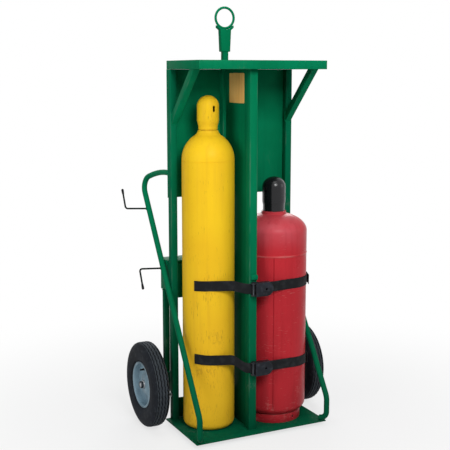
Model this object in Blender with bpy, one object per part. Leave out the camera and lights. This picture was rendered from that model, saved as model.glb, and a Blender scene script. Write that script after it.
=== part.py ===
"""Two-cylinder oxy acetylene torch cart: welded firewall frame, wheels, tool box, cylinders and straps."""
import math

import bmesh
import bpy
from mathutils import Matrix, Vector

# Clearances, in metres
GAP = 0.0003
LOOSE = 0.002
THREAD = 0.0008

# Frame
SHEET = 0.003
FRAME_WIDTH = 0.620
UPRIGHT_SIZE = 0.03175
UPRIGHT_WALL = 0.0025
UPRIGHT_LENGTH = 1.6104
UPRIGHT_FRONT = 0.1075
SKID_INSET = 0.080
SKID_FRONT = 0.150
SKID_REAR = 0.090
SKID_HEIGHT = 0.0187
BASE_OVERHANG = 0.0205
BASE_FRONT = 0.2026
BASE_REAR_OVERHANG = 0.003
BASE_THICKNESS = 0.006
ROOF_INSET = 0.002
ROOF_FRONT = 0.196
ROOF_REAR_OVERHANG = 0.0065
ROOF_DEPTH = 0.0376
BRACE_DROP = 0.2175
PANEL_INSET = 0.002
UPPER_PANEL_OVERHANG = 0.0015
UPPER_PANEL_HEIGHT = 0.570
LOWER_PANEL_HEIGHT = 0.094

# Firewall
FIREWALL_TO_FRAME = 0.0548
FIREWALL_FRONT = 0.160
FRONT_POST_SIZE = 0.0381

# Lifting eye
STEM_SIZE = 0.0254
STEM_HIDDEN = 0.150
STEM_RISE = 0.0404
SADDLE_FOOT = 0.043
SADDLE_SHOULDER = 0.052
SADDLE_EAR = 0.078
SADDLE_HEIGHT = 0.0955
SADDLE_EAR_DROP = 0.011
SADDLE_DEPTH = 0.028
SADDLE_CREST = 0.00275
SADDLE_STEPS = 12
RING_RADIUS = 0.045
RING_BAR = 0.0055
RING_STEPS = 28
RING_SIDES = 8

# Handles and hose hooks
HANDLE_BAR = 0.0127
HANDLE_WALL = 0.0025
HANDLE_ROOT_INSET = 0.013
HANDLE_TOP = 1.1754
HANDLE_LEAD = 0.1238
HANDLE_ROOT_BEND = 0.533
HANDLE_REACH = 0.4253
HANDLE_REACH_DROP = 0.0573
HANDLE_BEND = 0.0528
HANDLE_KNEE = 0.142
HANDLE_KNEE_BEND = 0.060
HANDLE_TOE_CLEARANCE = 0.0023
HANDLE_CURL = 0.034
HANDLE_TOE = 0.002
TOE_ANGLE = math.radians(60.0)
HANDLE_SIDES = 8
HANDLE_BEND_STEPS = 5
HOOK_ROD = 0.004
HOOK_REACH = 0.1026
HOOK_PRONG = 0.095
HOOK_RISE = 0.0065
HOOK_SLOPE = math.radians(65.0)
HOOK_BEND = 0.012
HOOK_SIDES = 8
HOOK_BEND_STEPS = 4
UPPER_HOOK_INSET = 0.0832
LOWER_HOOK_INSET = 0.2507

# Tool box
BOX_INSET = 0.006
BOX_DEPTH = 0.107
BOX_BOTTOM = 0.625
BOX_HEIGHT = 0.1442
BOX_FRONT_DROP = 0.0095
LID_SHEET = 0.0025
LID_LIP = 0.022
HEM_RADIUS = 0.0055
HINGE_ROD = 0.003
HINGE_SIDE_CLEARANCE = 0.0015
MID_PANEL_BELOW = 0.026
MID_PANEL_ABOVE = 0.013

# Running gear
AXLE_Y = 0.178
AXLE_RADIUS = 0.011
AXLE_BUTT = 0.006
JOURNAL_RADIUS = 0.0095
LEG_SIZE = 0.0254
LEG_FRONT_CLEARANCE = 0.017
LEG_BELOW_AXLE = 0.046
BRACKET_THICKNESS = 0.010
BRACKET_INSET = 0.008
BRACKET_HEIGHT = 0.090
WHEEL_OFFSET = 0.0956
TYRE_RADIUS = 0.196
TYRE_WIDTH = 0.084
TYRE_WALL = 0.009
TYRE_FLANK_RATIOS = ((0.20, 0.88), (0.50, 1.00), (0.74, 0.99), (0.90, 0.94), (0.97, 0.82), (1.00, 0.55))
TYRE_CROWN_RATIO = 0.55
TYRE_CAVITY_RATIO = 0.60
BEAD_RADIUS = 0.100
BEAD_WIDTH = 0.0594
RIM_WALL = 0.003
RIM_FLANGE = 0.0075
HUB_RADIUS = 0.019
HUB_LENGTH = 0.068
HUB_INSET = 0.0086
DISH_OUTER = 0.003
DISH_BREAK_RADIUS = 0.060
DISH_BREAK = 0.008
DISH_FACE_RADIUS = 0.040
DISH_FACE = 0.020
VALVE_POSITION = 0.072
VALVE_RADIUS = 0.005
VALVE_LENGTH = 0.030
VALVE_SLEEVE = 0.018
VALVE_TAPER = 0.003
VALVE_TIP_RADIUS = 0.0035
NUT_RADIUS = 0.0165
NUT_THICKNESS = 0.011
NUT_SIDES = 6
NUT_SEGMENTS = 24
WHEEL_SEGMENTS = 32

# Oxygen cylinder
OXYGEN_TO_FRAME = 0.1895
OXYGEN_WALL = 0.0065
OXYGEN_FLOOR = 0.010
OXYGEN_KNUCKLE = 0.0275
OXYGEN_HEADROOM = 0.3947
OXYGEN_SHOULDER = 0.126
OXYGEN_FIREWALL_CLEARANCE = 0.018
OXYGEN_BACK_CLEARANCE = 0.010

# Acetylene cylinder
ACETYLENE_TO_FRAME = 0.2458
ACETYLENE_WALL = 0.0045
ACETYLENE_BODY = 0.809
ACETYLENE_HEAD = 0.084
ACETYLENE_BOTTOM_HEAD = 0.060
ACETYLENE_FIREWALL_CLEARANCE = 0.0285
ACETYLENE_BACK_CLEARANCE = 0.0015
FOOT_RING_INSET = 0.0224
FOOT_RING_WALL = 0.005
FOOT_RING_HEIGHT = 0.0401
DRAIN_RADIUS = 0.006
DRAIN_ANGLES = (math.radians(-72.0), math.radians(48.0), math.radians(168.0))

# Necks, valves and caps
COLLAR_LEDGE = 0.002
COLLAR_HEIGHT = 0.012
NECK_HEIGHT = 0.036
NECK_BORE = 0.014
NECK_ROOT = 0.010
OXYGEN_COLLAR = 0.050
OXYGEN_THREAD = 0.038
ACETYLENE_COLLAR = 0.056
ACETYLENE_THREAD = 0.0445
VALVE_FLANGE_RADIUS = 0.019
VALVE_FLANGE_HEIGHT = 0.010
VALVE_BODY_RADIUS = 0.016
VALVE_BODY_HEIGHT = 0.045
VALVE_BONNET_RADIUS = 0.012
VALVE_BONNET_HEIGHT = 0.015
VALVE_OUTLET_RADIUS = 0.0115
VALVE_OUTLET_REACH = 0.034
SPINDLE_RADIUS = 0.0045
SPINDLE_DEPTH = 0.010
HANDWHEEL_RADIUS = 0.030
HANDWHEEL_THICKNESS = 0.012
HANDWHEEL_LOBE = 0.0015
CAP_WALL = 0.0042
CAP_HOLE = 0.005
OXYGEN_CAP_SKIRT = 0.022
OXYGEN_CAP_FLARE = 0.028
OXYGEN_CAP_RADIUS = 0.0485
OXYGEN_CAP_BODY = 0.062
OXYGEN_CAP_DOME = 0.046
ACETYLENE_CAP_SKIRT = 0.022
ACETYLENE_CAP_FLARE = 0.024
ACETYLENE_CAP_RADIUS = 0.053
ACETYLENE_CAP_BODY = 0.064
ACETYLENE_CAP_DOME = 0.046
SLOT_WIDTH = 0.012
SLOT_HEIGHT = 0.028
OXYGEN_SLOT_ANGLE = math.radians(-82.5)
ACETYLENE_SLOT_ANGLE = math.radians(15.0)
CYLINDER_SEGMENTS = 30
KNUCKLE_STEPS = 3
SHOULDER_STEPS = 7
HEAD_STEPS = 6
BOTTOM_STEPS = 5
BOTTOM_INNER_STEPS = 3
INNER_STEPS = 4
CAP_SEGMENTS = 24
CAP_DOME_STEPS = 5
CAP_INNER_STEPS = 3
SLOT_STEPS = 6
VALVE_SEGMENTS = 16

# Straps
STRAP_WIDTH = 0.046
STRAP_THICKNESS = 0.0025
STRAP_STEP = math.radians(6.0)
FOLD_STEP = math.radians(22.5)
STRAP_LEAD = 0.022
SPOOL_OFFSET = 0.006
SPOOL_CLEARANCE = 0.003
DRUM_RADIUS = 0.007
SPOOL_SHAFT = 0.006
GEAR_RADIUS = 0.015
GEAR_TOOTH = 0.0022
GEAR_THICKNESS = 0.0025
RATCHET_PLATE = 0.002
HANDLE_PLATE = 0.0018
RATCHET_NOSE = 0.012
RATCHET_TIE = 0.068
RATCHET_TIE_RADIUS = 0.005
RATCHET_END = 0.010
GRIP_OFFSET = 0.0215
GRIP_CHEEK = 0.040
GRIP_LENGTH = 0.086
GRIP_HOLE = 0.005
GRIP_HOLE_POSITION = 0.052
PAWL_LENGTH = 0.008
PAWL_DEPTH = 0.009
PAWL_CLEARANCE = 0.0006
RATCHET_SEGMENTS = 24
NOSE_STEPS = 8
CHEEK_STEPS = 6
GRIP_STEPS = 12
ROD_SEGMENTS = 16
STEM_SEGMENTS = 12
TAIL_END_ANGLE = math.radians(-147.0)
LOOP_ANGLE = math.radians(-10.0)
LOOP_FOLD = math.radians(24.0)
FOLD_STANDOFF = 0.0105
ANCHOR_ROD = 0.004
ANCHOR_BEND = 0.008
ANCHOR_BEND_STEPS = 3
UPPER_TAIL_Z = (0.695, 0.697)
UPPER_RATCHET_Z = 0.682
UPPER_BAND_Z = (0.686, 0.680)
LOWER_TAIL_Z = (0.363, 0.359)
LOWER_RATCHET_Z = 0.320
LOWER_BAND_Z = (0.318, 0.304)

# Widths, heights and planes that follow from the sizes above; the cylinders are as wide as the frame allows
HALF_FRAME = FRAME_WIDTH / 2
HALF_SKID = HALF_FRAME - SKID_INSET
HALF_BASE = HALF_FRAME + BASE_OVERHANG
HALF_ROOF = HALF_FRAME - ROOF_INSET
HALF_PANEL = HALF_FRAME - PANEL_INSET
HALF_UPPER_PANEL = HALF_FRAME + UPPER_PANEL_OVERHANG
HALF_BOX = HALF_FRAME - BOX_INSET
WHEEL_X = HALF_FRAME + WHEEL_OFFSET
FIREWALL_X = -FIREWALL_TO_FRAME * FRAME_WIDTH
SPOOL_X = FIREWALL_X - SPOOL_OFFSET
OXYGEN_RADIUS = OXYGEN_TO_FRAME * FRAME_WIDTH
OXYGEN_BODY = UPRIGHT_LENGTH - OXYGEN_HEADROOM
ACETYLENE_RADIUS = ACETYLENE_TO_FRAME * FRAME_WIDTH
FOOT_RING_RADIUS = ACETYLENE_RADIUS - FOOT_RING_INSET
BASE_BOTTOM = SKID_HEIGHT + GAP
DECK = BASE_BOTTOM + BASE_THICKNESS
STAND = DECK + GAP
UPRIGHT_TOP = STAND + UPRIGHT_LENGTH
ROOF_BOTTOM = UPRIGHT_TOP + GAP
ROOF_TOP = ROOF_BOTTOM + ROOF_DEPTH
POST_TOP = ROOF_TOP - SHEET - GAP
UPRIGHT_REAR = UPRIGHT_FRONT + UPRIGHT_SIZE
PANEL_FRONT = UPRIGHT_REAR + GAP
PANEL_REAR = PANEL_FRONT + SHEET
POST_Y = UPRIGHT_FRONT + UPRIGHT_SIZE / 2
OXYGEN_X = FIREWALL_X - SHEET / 2 - OXYGEN_FIREWALL_CLEARANCE - OXYGEN_RADIUS
OXYGEN_Y = PANEL_FRONT - OXYGEN_BACK_CLEARANCE - OXYGEN_RADIUS
ACETYLENE_X = FIREWALL_X + SHEET / 2 + ACETYLENE_FIREWALL_CLEARANCE + ACETYLENE_RADIUS
ACETYLENE_Y = PANEL_FRONT - ACETYLENE_BACK_CLEARANCE - ACETYLENE_RADIUS
AXLE_Z = TYRE_RADIUS


for old in list(bpy.data.objects):
    bpy.data.objects.remove(old, do_unlink=True)


def finish(name, red, green, blue, roughness, metallic):
    """A plain surface with one colour, roughness and metal share."""
    mat = bpy.data.materials.new(name)
    mat.use_nodes = True
    shader = mat.node_tree.nodes["Principled BSDF"]
    shader.inputs["Base Color"].default_value = (red, green, blue, 1.0)
    shader.inputs["Roughness"].default_value = roughness
    shader.inputs["Metallic"].default_value = metallic
    return mat


GREEN = finish("green_enamel", 0.004, 0.150, 0.075, 0.35, 0.0)
YELLOW = finish("yellow_enamel", 0.800, 0.480, 0.020, 0.40, 0.0)
RED = finish("red_enamel", 0.420, 0.020, 0.028, 0.40, 0.0)
BLACK = finish("black_enamel", 0.012, 0.012, 0.014, 0.30, 0.0)
BRASS = finish("turned_brass", 0.600, 0.420, 0.140, 0.35, 1.0)
RUBBER = finish("black_rubber", 0.022, 0.022, 0.025, 0.80, 0.0)
RIM_GREY = finish("blue_grey_enamel", 0.160, 0.220, 0.260, 0.45, 0.0)
STEEL = finish("zinc_plated_steel", 0.450, 0.460, 0.480, 0.40, 1.0)
WEBBING = finish("woven_webbing", 0.020, 0.021, 0.022, 0.90, 0.0)
PLASTIC = finish("black_plastic", 0.015, 0.015, 0.018, 0.50, 0.0)


def place(name, mesh_builder, mat, origin=(0.0, 0.0, 0.0), smooth=False):
    """Turn a built mesh into a named object standing at its origin."""
    bmesh.ops.recalc_face_normals(mesh_builder, faces=mesh_builder.faces)
    mesh = bpy.data.meshes.new(name)
    mesh_builder.to_mesh(mesh)
    mesh_builder.free()
    mesh.materials.append(mat)
    for polygon in mesh.polygons:
        polygon.use_smooth = smooth
    obj = bpy.data.objects.new(name, mesh)
    obj.location = origin
    bpy.context.scene.collection.objects.link(obj)
    return obj


def combine(target, tool, operation):
    """Join a tool shape to a piece or cut it away."""
    tool.hide_render = True
    tool.display_type = "WIRE"
    tool.name = target.name + "_tool"
    modifier = target.modifiers.new(operation.lower(), "BOOLEAN")
    modifier.operation = operation
    modifier.solver = "EXACT"
    modifier.object = tool
    bpy.context.view_layer.objects.active = target
    bpy.ops.object.modifier_apply(modifier=modifier.name)
    bpy.data.objects.remove(tool, do_unlink=True)


def add_loops(bm, loops, ring_closed, ends):
    """Skin successive vertex loops; ends is cap, join or open."""
    count = len(loops)
    last = count if ends == "join" else count - 1
    for i in range(last):
        a = loops[i]
        b = loops[(i + 1) % count]
        n = max(len(a), len(b))
        steps = n if ring_closed else n - 1
        for k in range(steps):
            corners = [a[k % len(a)], a[(k + 1) % len(a)], b[(k + 1) % len(b)], b[k % len(b)]]
            unique = []
            for corner in corners:
                if corner not in unique:
                    unique.append(corner)
            bm.faces.new(unique)
    if ends == "cap":
        bm.faces.new(loops[0])
        bm.faces.new(loops[-1])


def box_into(bm, low, high):
    """A block between two corners."""
    loops = []
    for z in (low[2], high[2]):
        corners = ((low[0], low[1]), (high[0], low[1]), (high[0], high[1]), (low[0], high[1]))
        loops.append([bm.verts.new((x, y, z)) for x, y in corners])
    add_loops(bm, loops, True, "cap")


def box(name, low, high, mat):
    """A flat plate or block."""
    bm = bmesh.new()
    box_into(bm, low, high)
    return place(name, bm, mat)


def square(half):
    """Corners of a square section."""
    return ((-half, -half), (half, -half), (half, half), (-half, half))


def square_tube(name, x, y, size, wall, bottom, top, mat):
    """A vertical square tube, open at both ends."""
    bm = bmesh.new()
    loops = []
    outer = size / 2
    inner = outer - wall
    for half, z in ((outer, bottom), (outer, top), (inner, top), (inner, bottom)):
        loops.append([bm.verts.new((x + dx, y + dy, z)) for dx, dy in square(half)])
    add_loops(bm, loops, True, "join")
    return place(name, bm, mat)


def tray(name, low, high, wall, opening, mat):
    """A folded sheet pan, open at its top or at its bottom."""
    bm = bmesh.new()
    inner_low = (low[0] + wall, low[1] + wall)
    inner_high = (high[0] - wall, high[1] - wall)
    shut, rim = (low[2], high[2]) if opening == "top" else (high[2], low[2])
    floor = shut + wall if opening == "top" else shut - wall
    loops = []
    outer = (low, high)
    inner = (inner_low, inner_high)
    for (a, b), z in ((outer, shut), (outer, rim), (inner, rim), (inner, floor)):
        corners = ((a[0], a[1]), (b[0], a[1]), (b[0], b[1]), (a[0], b[1]))
        loops.append([bm.verts.new((x, y, z)) for x, y in corners])
    add_loops(bm, loops, True, "cap")
    return place(name, bm, mat)


def prism_into(bm, outline, near, far, axis):
    """An outline drawn square to an axis and extruded along it."""
    loops = []
    for depth in (near, far):
        loop = []
        for a, b in outline:
            point = {"X": (depth, a, b), "Y": (a, depth, b), "Z": (a, b, depth)}[axis]
            loop.append(bm.verts.new(point))
        loops.append(loop)
    add_loops(bm, loops, True, "cap")


def lathe_into(bm, profile, segments, axis="Z", closed=False, matrix=None, lobes=None):
    """A profile of (radius, height) turned about an axis; lobes cuts back every second corner."""
    loops = []
    for index, (radius, height) in enumerate(profile):
        loop = []
        count = segments if radius > 0.0 else 1
        for k in range(count):
            angle = 2.0 * math.pi * k / segments
            r = radius
            if lobes and index in lobes and k % 2:
                r = radius - lobes[index]
            a = r * math.cos(angle)
            b = r * math.sin(angle)
            point = Vector((a, b, height)) if axis == "Z" else Vector((height, a, b))
            if matrix:
                point = matrix @ point
            loop.append(bm.verts.new(point))
        loops.append(loop)
    add_loops(bm, loops, True, "join" if closed else "open")


def lathe(name, profile, segments, mat, origin, axis="Z", closed=False, lobes=None):
    """A turned piece standing on its own axis."""
    bm = bmesh.new()
    lathe_into(bm, profile, segments, axis, closed, None, lobes)
    return place(name, bm, mat, origin, True)


def rod_profile(radius, bottom, top):
    """Profile of a plain round bar."""
    return [(0.0, bottom), (radius, bottom), (radius, top), (0.0, top)]


def quarter(radius, rise, steps, inner=0.0):
    """Points of an elliptic dome from its foot to the radius inner."""
    points = []
    stop = math.acos(inner / radius)
    for k in range(steps + 1):
        angle = stop * k / steps
        points.append((radius * math.cos(angle), rise * math.sin(angle)))
    return points


def fillet_path(corners, bends, steps):
    """A polyline whose inner corners are rounded to the given bend radii."""
    points = [Vector(corners[0])]
    for index, bend in enumerate(bends):
        before = Vector(corners[index])
        corner = Vector(corners[index + 1])
        after = Vector(corners[index + 2])
        into = (before - corner).normalized()
        out = (after - corner).normalized()
        half = into.angle(out) / 2
        start = corner + into * (bend / math.tan(half))
        centre = corner + (into + out).normalized() * (bend / math.sin(half))
        first = start - centre
        last = corner + out * (bend / math.tan(half)) - centre
        sweep = first.angle(last)
        for k in range(steps + 1):
            t = k / steps
            arm = (first * math.sin((1 - t) * sweep) + last * math.sin(t * sweep)) / math.sin(sweep)
            points.append(centre + arm)
    points.append(Vector(corners[-1]))
    return points


def round_bar_into(bm, points, radius, sides, cyclic=False, bore=0.0):
    """A round bar, or a tube with a bore, swept along a path without twist."""
    count = len(points)
    loops = []
    inner = []
    across = None
    for i, point in enumerate(points):
        if cyclic:
            along = (points[(i + 1) % count] - points[i - 1]).normalized()
        elif i == 0:
            along = (points[1] - points[0]).normalized()
        elif i == count - 1:
            along = (points[-1] - points[-2]).normalized()
        else:
            after = (points[i + 1] - point).normalized()
            before = (point - points[i - 1]).normalized()
            along = (before + after).normalized()
        if across is None:
            across = along.orthogonal().normalized()
        across = (across - along * across.dot(along)).normalized()
        other = along.cross(across)
        arms = []
        for k in range(sides):
            angle = 2.0 * math.pi * k / sides
            arms.append(across * math.cos(angle) + other * math.sin(angle))
        loops.append([bm.verts.new(point + arm * radius) for arm in arms])
        if bore > 0.0:
            inner.append([bm.verts.new(point + arm * bore) for arm in arms])
    if bore > 0.0:
        add_loops(bm, loops + inner[::-1], True, "join")
    else:
        add_loops(bm, loops, True, "join" if cyclic else "cap")


def mirror_x(points):
    """The same path on the other side of the cart."""
    return [Vector((-p[0], p[1], p[2])) for p in points]


# Skid pan under the base, base plate and the two uprights
tray("skid_pan", (-HALF_SKID, -SKID_FRONT, 0.0), (HALF_SKID, SKID_REAR, SKID_HEIGHT), SHEET, "top", GREEN)
box("base_plate", (-HALF_BASE, -BASE_FRONT, BASE_BOTTOM),
    (HALF_BASE, PANEL_REAR + BASE_REAR_OVERHANG, DECK), GREEN)
UPRIGHT_X = HALF_FRAME - UPRIGHT_SIZE / 2
for side, sign in (("left", -1), ("right", 1)):
    square_tube(side + "_upright", sign * UPRIGHT_X, POST_Y, UPRIGHT_SIZE, UPRIGHT_WALL,
                STAND, UPRIGHT_TOP, GREEN)

# Back panels welded behind the uprights
box("upper_back_panel", (-HALF_UPPER_PANEL, PANEL_FRONT, UPRIGHT_TOP - UPPER_PANEL_HEIGHT),
    (HALF_UPPER_PANEL, PANEL_REAR, UPRIGHT_TOP), GREEN)
box("mid_back_panel", (-HALF_PANEL, PANEL_FRONT, BOX_BOTTOM - MID_PANEL_BELOW),
    (HALF_PANEL, PANEL_REAR, BOX_BOTTOM + BOX_HEIGHT - MID_PANEL_ABOVE), GREEN)
box("lower_back_panel", (-HALF_PANEL, PANEL_FRONT, STAND),
    (HALF_PANEL, PANEL_REAR, STAND + LOWER_PANEL_HEIGHT), GREEN)

# Firewall: a sheet between a front post and a rear post, up into the roof
FRONT_POST_Y = -FIREWALL_FRONT + FRONT_POST_SIZE / 2
square_tube("firewall_front_post", FIREWALL_X, FRONT_POST_Y, FRONT_POST_SIZE, UPRIGHT_WALL,
            STAND, POST_TOP, GREEN)
square_tube("firewall_rear_post", FIREWALL_X, POST_Y, UPRIGHT_SIZE, UPRIGHT_WALL,
            STAND, POST_TOP, GREEN)
box("firewall_sheet", (FIREWALL_X - SHEET / 2, -FIREWALL_FRONT + FRONT_POST_SIZE + GAP, STAND),
    (FIREWALL_X + SHEET / 2, UPRIGHT_FRONT - GAP, POST_TOP), GREEN)

# Roof tray resting on the uprights, with a square hole for the lifting stem
roof = tray("roof_tray", (-HALF_ROOF, -ROOF_FRONT, ROOF_BOTTOM),
            (HALF_ROOF, PANEL_REAR + ROOF_REAR_OVERHANG, ROOF_TOP), SHEET, "bottom", GREEN)
STEM_HOLE = STEM_SIZE / 2 + GAP
combine(roof, box("stem_hole", (FIREWALL_X - STEM_HOLE, POST_Y - STEM_HOLE, ROOF_BOTTOM),
                  (FIREWALL_X + STEM_HOLE, POST_Y + STEM_HOLE, ROOF_TOP + SHEET), GREEN), "DIFFERENCE")

# Diagonal braces from the uprights' front faces up into the roof
BRACE_X = HALF_ROOF - SHEET - GAP - UPRIGHT_SIZE / 2
BRACE_FOOT = UPRIGHT_FRONT - GAP
BRACE_SUM = BRACE_FOOT + ROOF_BOTTOM - BRACE_DROP
for side, sign in (("left", -1), ("right", 1)):
    bm = bmesh.new()
    loops = []
    outer = UPRIGHT_SIZE / 2
    inner = outer - UPRIGHT_WALL
    for half, end in ((outer, 0), (outer, 1), (inner, 1), (inner, 0)):
        loop = []
        for dx, dn in square(half):
            level = BRACE_SUM + dn * math.sqrt(2.0)
            y, z = (BRACE_FOOT, level - BRACE_FOOT) if end == 0 else (level - POST_TOP, POST_TOP)
            loop.append(bm.verts.new((sign * BRACE_X + dx, y, z)))
        loops.append(loop)
    add_loops(bm, loops, True, "join")
    place(side + "_roof_brace", bm, GREEN)

# Lifting eye: a stem let into the rear post with a saddle cut from plate at its head, and a round ring
STEM_TOP = ROOF_TOP + STEM_RISE
stem = box("stem", (FIREWALL_X - STEM_SIZE / 2, POST_Y - STEM_SIZE / 2, ROOF_TOP - STEM_HIDDEN),
           (FIREWALL_X + STEM_SIZE / 2, POST_Y + STEM_SIZE / 2, STEM_TOP + SADDLE_HEIGHT / 2), GREEN)
SADDLE_ARC = RING_RADIUS + RING_BAR + GAP
SADDLE_BOTTOM = STEM_TOP
RING_Z = SADDLE_BOTTOM + SADDLE_HEIGHT + SADDLE_CREST + SADDLE_ARC
EAR_ANGLE = math.asin(SADDLE_EAR / 2 / SADDLE_ARC)
EAR_TOP = RING_Z - SADDLE_ARC * math.cos(EAR_ANGLE)
saddle = [(-SADDLE_FOOT / 2, SADDLE_BOTTOM), (SADDLE_FOOT / 2, SADDLE_BOTTOM),
          (SADDLE_SHOULDER / 2, SADDLE_BOTTOM + SADDLE_HEIGHT), (SADDLE_EAR / 2, EAR_TOP - SADDLE_EAR_DROP)]
for k in range(SADDLE_STEPS + 1):
    angle = EAR_ANGLE * (1 - 2 * k / SADDLE_STEPS)
    saddle.append((SADDLE_ARC * math.sin(angle), RING_Z - SADDLE_ARC * math.cos(angle)))
saddle.append((-SADDLE_EAR / 2, EAR_TOP - SADDLE_EAR_DROP))
saddle.append((-SADDLE_SHOULDER / 2, SADDLE_BOTTOM + SADDLE_HEIGHT))
bm = bmesh.new()
saddle = [(FIREWALL_X + x, z) for x, z in saddle]
prism_into(bm, saddle, POST_Y - SADDLE_DEPTH / 2, POST_Y + SADDLE_DEPTH / 2, "Y")
lifting_post = place("lifting_post", bm, GREEN)
combine(lifting_post, stem, "UNION")
bm = bmesh.new()
ring_path = []
for k in range(RING_STEPS):
    angle = 2.0 * math.pi * k / RING_STEPS
    ring_path.append(Vector((RING_RADIUS * math.cos(angle), 0.0, RING_RADIUS * math.sin(angle))))
round_bar_into(bm, ring_path, RING_BAR, RING_SIDES, True)
place("lifting_ring", bm, GREEN, (FIREWALL_X, POST_Y, RING_Z), True)

# Bent handle tubes: from the back panel out behind the cart, down past the upright, curled onto the base
HANDLE_X = HALF_FRAME + GAP + HANDLE_BAR
HANDLE_ROOT_X = HALF_FRAME - HANDLE_ROOT_INSET
KNEE_Y = -(BASE_FRONT + HANDLE_BAR + HANDLE_TOE_CLEARANCE)
TOE_Z = STAND + HANDLE_BAR
TOE_RUN = HANDLE_CURL + HANDLE_TOE
HANDLE_SLOPE = (HANDLE_TOP - HANDLE_REACH_DROP - HANDLE_KNEE) / (HANDLE_REACH - KNEE_Y)
handle_corners = [
    (HANDLE_ROOT_X, PANEL_REAR + GAP, HANDLE_TOP),
    (HANDLE_ROOT_X, PANEL_REAR + GAP + HANDLE_LEAD, HANDLE_TOP),
    (HANDLE_X, HANDLE_REACH, HANDLE_TOP - HANDLE_REACH_DROP),
    (HANDLE_X, KNEE_Y, HANDLE_KNEE),
    (HANDLE_X, KNEE_Y, TOE_Z),
    (HANDLE_X - TOE_RUN * math.cos(TOE_ANGLE), KNEE_Y + TOE_RUN * math.sin(TOE_ANGLE), TOE_Z),
]
handle_bends = (HANDLE_ROOT_BEND, HANDLE_BEND, HANDLE_KNEE_BEND, HANDLE_CURL)
handle_path = fillet_path(handle_corners, handle_bends, HANDLE_BEND_STEPS)
for side, path in (("left", mirror_x(handle_path)), ("right", handle_path)):
    bm = bmesh.new()
    round_bar_into(bm, path, HANDLE_BAR, HANDLE_SIDES, False, HANDLE_BAR - HANDLE_WALL)
    place(side + "_handle_tube", bm, GREEN, (0.0, 0.0, 0.0), True)

# Hose hooks: bent rods welded to the left handle tube
HOOK_ROOT_X = -(HANDLE_X + HANDLE_BAR + GAP)
for level, inset, turn in (("upper", UPPER_HOOK_INSET, 1), ("lower", LOWER_HOOK_INSET, -1)):
    hook_y = HANDLE_REACH - inset
    hook_z = HANDLE_KNEE + HANDLE_SLOPE * (hook_y - KNEE_Y)
    prong = Vector((0.0, turn * math.cos(HOOK_SLOPE), turn * math.sin(HOOK_SLOPE)))
    elbow = Vector((HOOK_ROOT_X - HOOK_REACH, hook_y, hook_z + HOOK_RISE))
    end = elbow + prong * HOOK_PRONG
    bm = bmesh.new()
    hook_path = fillet_path([(HOOK_ROOT_X, hook_y, hook_z), elbow, end], (HOOK_BEND,), HOOK_BEND_STEPS)
    round_bar_into(bm, hook_path, HOOK_ROD, HOOK_SIDES)
    place(level + "_hose_hook", bm, GREEN, (0.0, 0.0, 0.0), True)

# Tool box behind the frame: folded box, lid on a hem hinge and its rod
BOX_FRONT = PANEL_REAR + GAP
BOX_RIM = BOX_BOTTOM + BOX_HEIGHT
LID_UNDER = BOX_RIM + GAP
LID_TOP = LID_UNDER + LID_SHEET
HINGE_Y = BOX_FRONT + GAP + HEM_RADIUS
HINGE_Z = LID_TOP - HEM_RADIUS
HEM_HALF = HALF_BOX - SHEET - HINGE_SIDE_CLEARANCE
tool_box = tray("tool_box", (-HALF_BOX, BOX_FRONT, BOX_BOTTOM), (HALF_BOX, BOX_FRONT + BOX_DEPTH, BOX_RIM),
                SHEET, "top", GREEN)
combine(tool_box, box("hem_clearance", (-HEM_HALF - GAP, BOX_FRONT - SHEET, BOX_RIM - BOX_FRONT_DROP),
                      (HEM_HALF + GAP, BOX_FRONT + SHEET * 2, BOX_RIM + SHEET), GREEN), "DIFFERENCE")
bm = bmesh.new()
lathe_into(bm, rod_profile(HINGE_ROD + GAP, -FRAME_WIDTH, FRAME_WIDTH), ROD_SEGMENTS, "X")
combine(tool_box, place("rod_hole", bm, GREEN, (0.0, HINGE_Y, HINGE_Z)), "DIFFERENCE")
LID_HALF = HALF_BOX + LOOSE + LID_SHEET
LID_REAR = BOX_FRONT + BOX_DEPTH + LOOSE + LID_SHEET - HINGE_Y
LID_START = HINGE_ROD
bm = bmesh.new()
lid_high = LID_TOP - HINGE_Z
lip_low = lid_high - LID_LIP
box_into(bm, (-LID_HALF, HEM_RADIUS * 2, lip_low), (LID_HALF, LID_REAR, lid_high))
lid = place("tool_box_lid", bm, GREEN, (0.0, HINGE_Y, HINGE_Z))
combine(lid, box("lid_hollow", (-LID_HALF + LID_SHEET, HINGE_Y - HEM_RADIUS, HINGE_Z + lip_low - LID_LIP),
                 (LID_HALF - LID_SHEET, HINGE_Y + LID_REAR - LID_SHEET, LID_UNDER), GREEN), "DIFFERENCE")
combine(lid, box("lid_front", (-HEM_HALF, HINGE_Y + LID_START, LID_UNDER),
                 (HEM_HALF, HINGE_Y + HEM_RADIUS * 3, LID_TOP), GREEN), "UNION")
bm = bmesh.new()
hem_bore = HINGE_ROD + GAP
hem = [(hem_bore, -HEM_HALF), (HEM_RADIUS, -HEM_HALF), (HEM_RADIUS, HEM_HALF), (hem_bore, HEM_HALF)]
lathe_into(bm, hem, ROD_SEGMENTS, "X", True)
combine(lid, place("lid_hem", bm, GREEN, (0.0, HINGE_Y, HINGE_Z)), "UNION")
bm = bmesh.new()
lathe_into(bm, rod_profile(HINGE_ROD, -HALF_BOX - GAP, HALF_BOX + GAP), ROD_SEGMENTS, "X")
place("lid_hinge_rod", bm, STEEL, (0.0, HINGE_Y, HINGE_Z), True)

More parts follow.
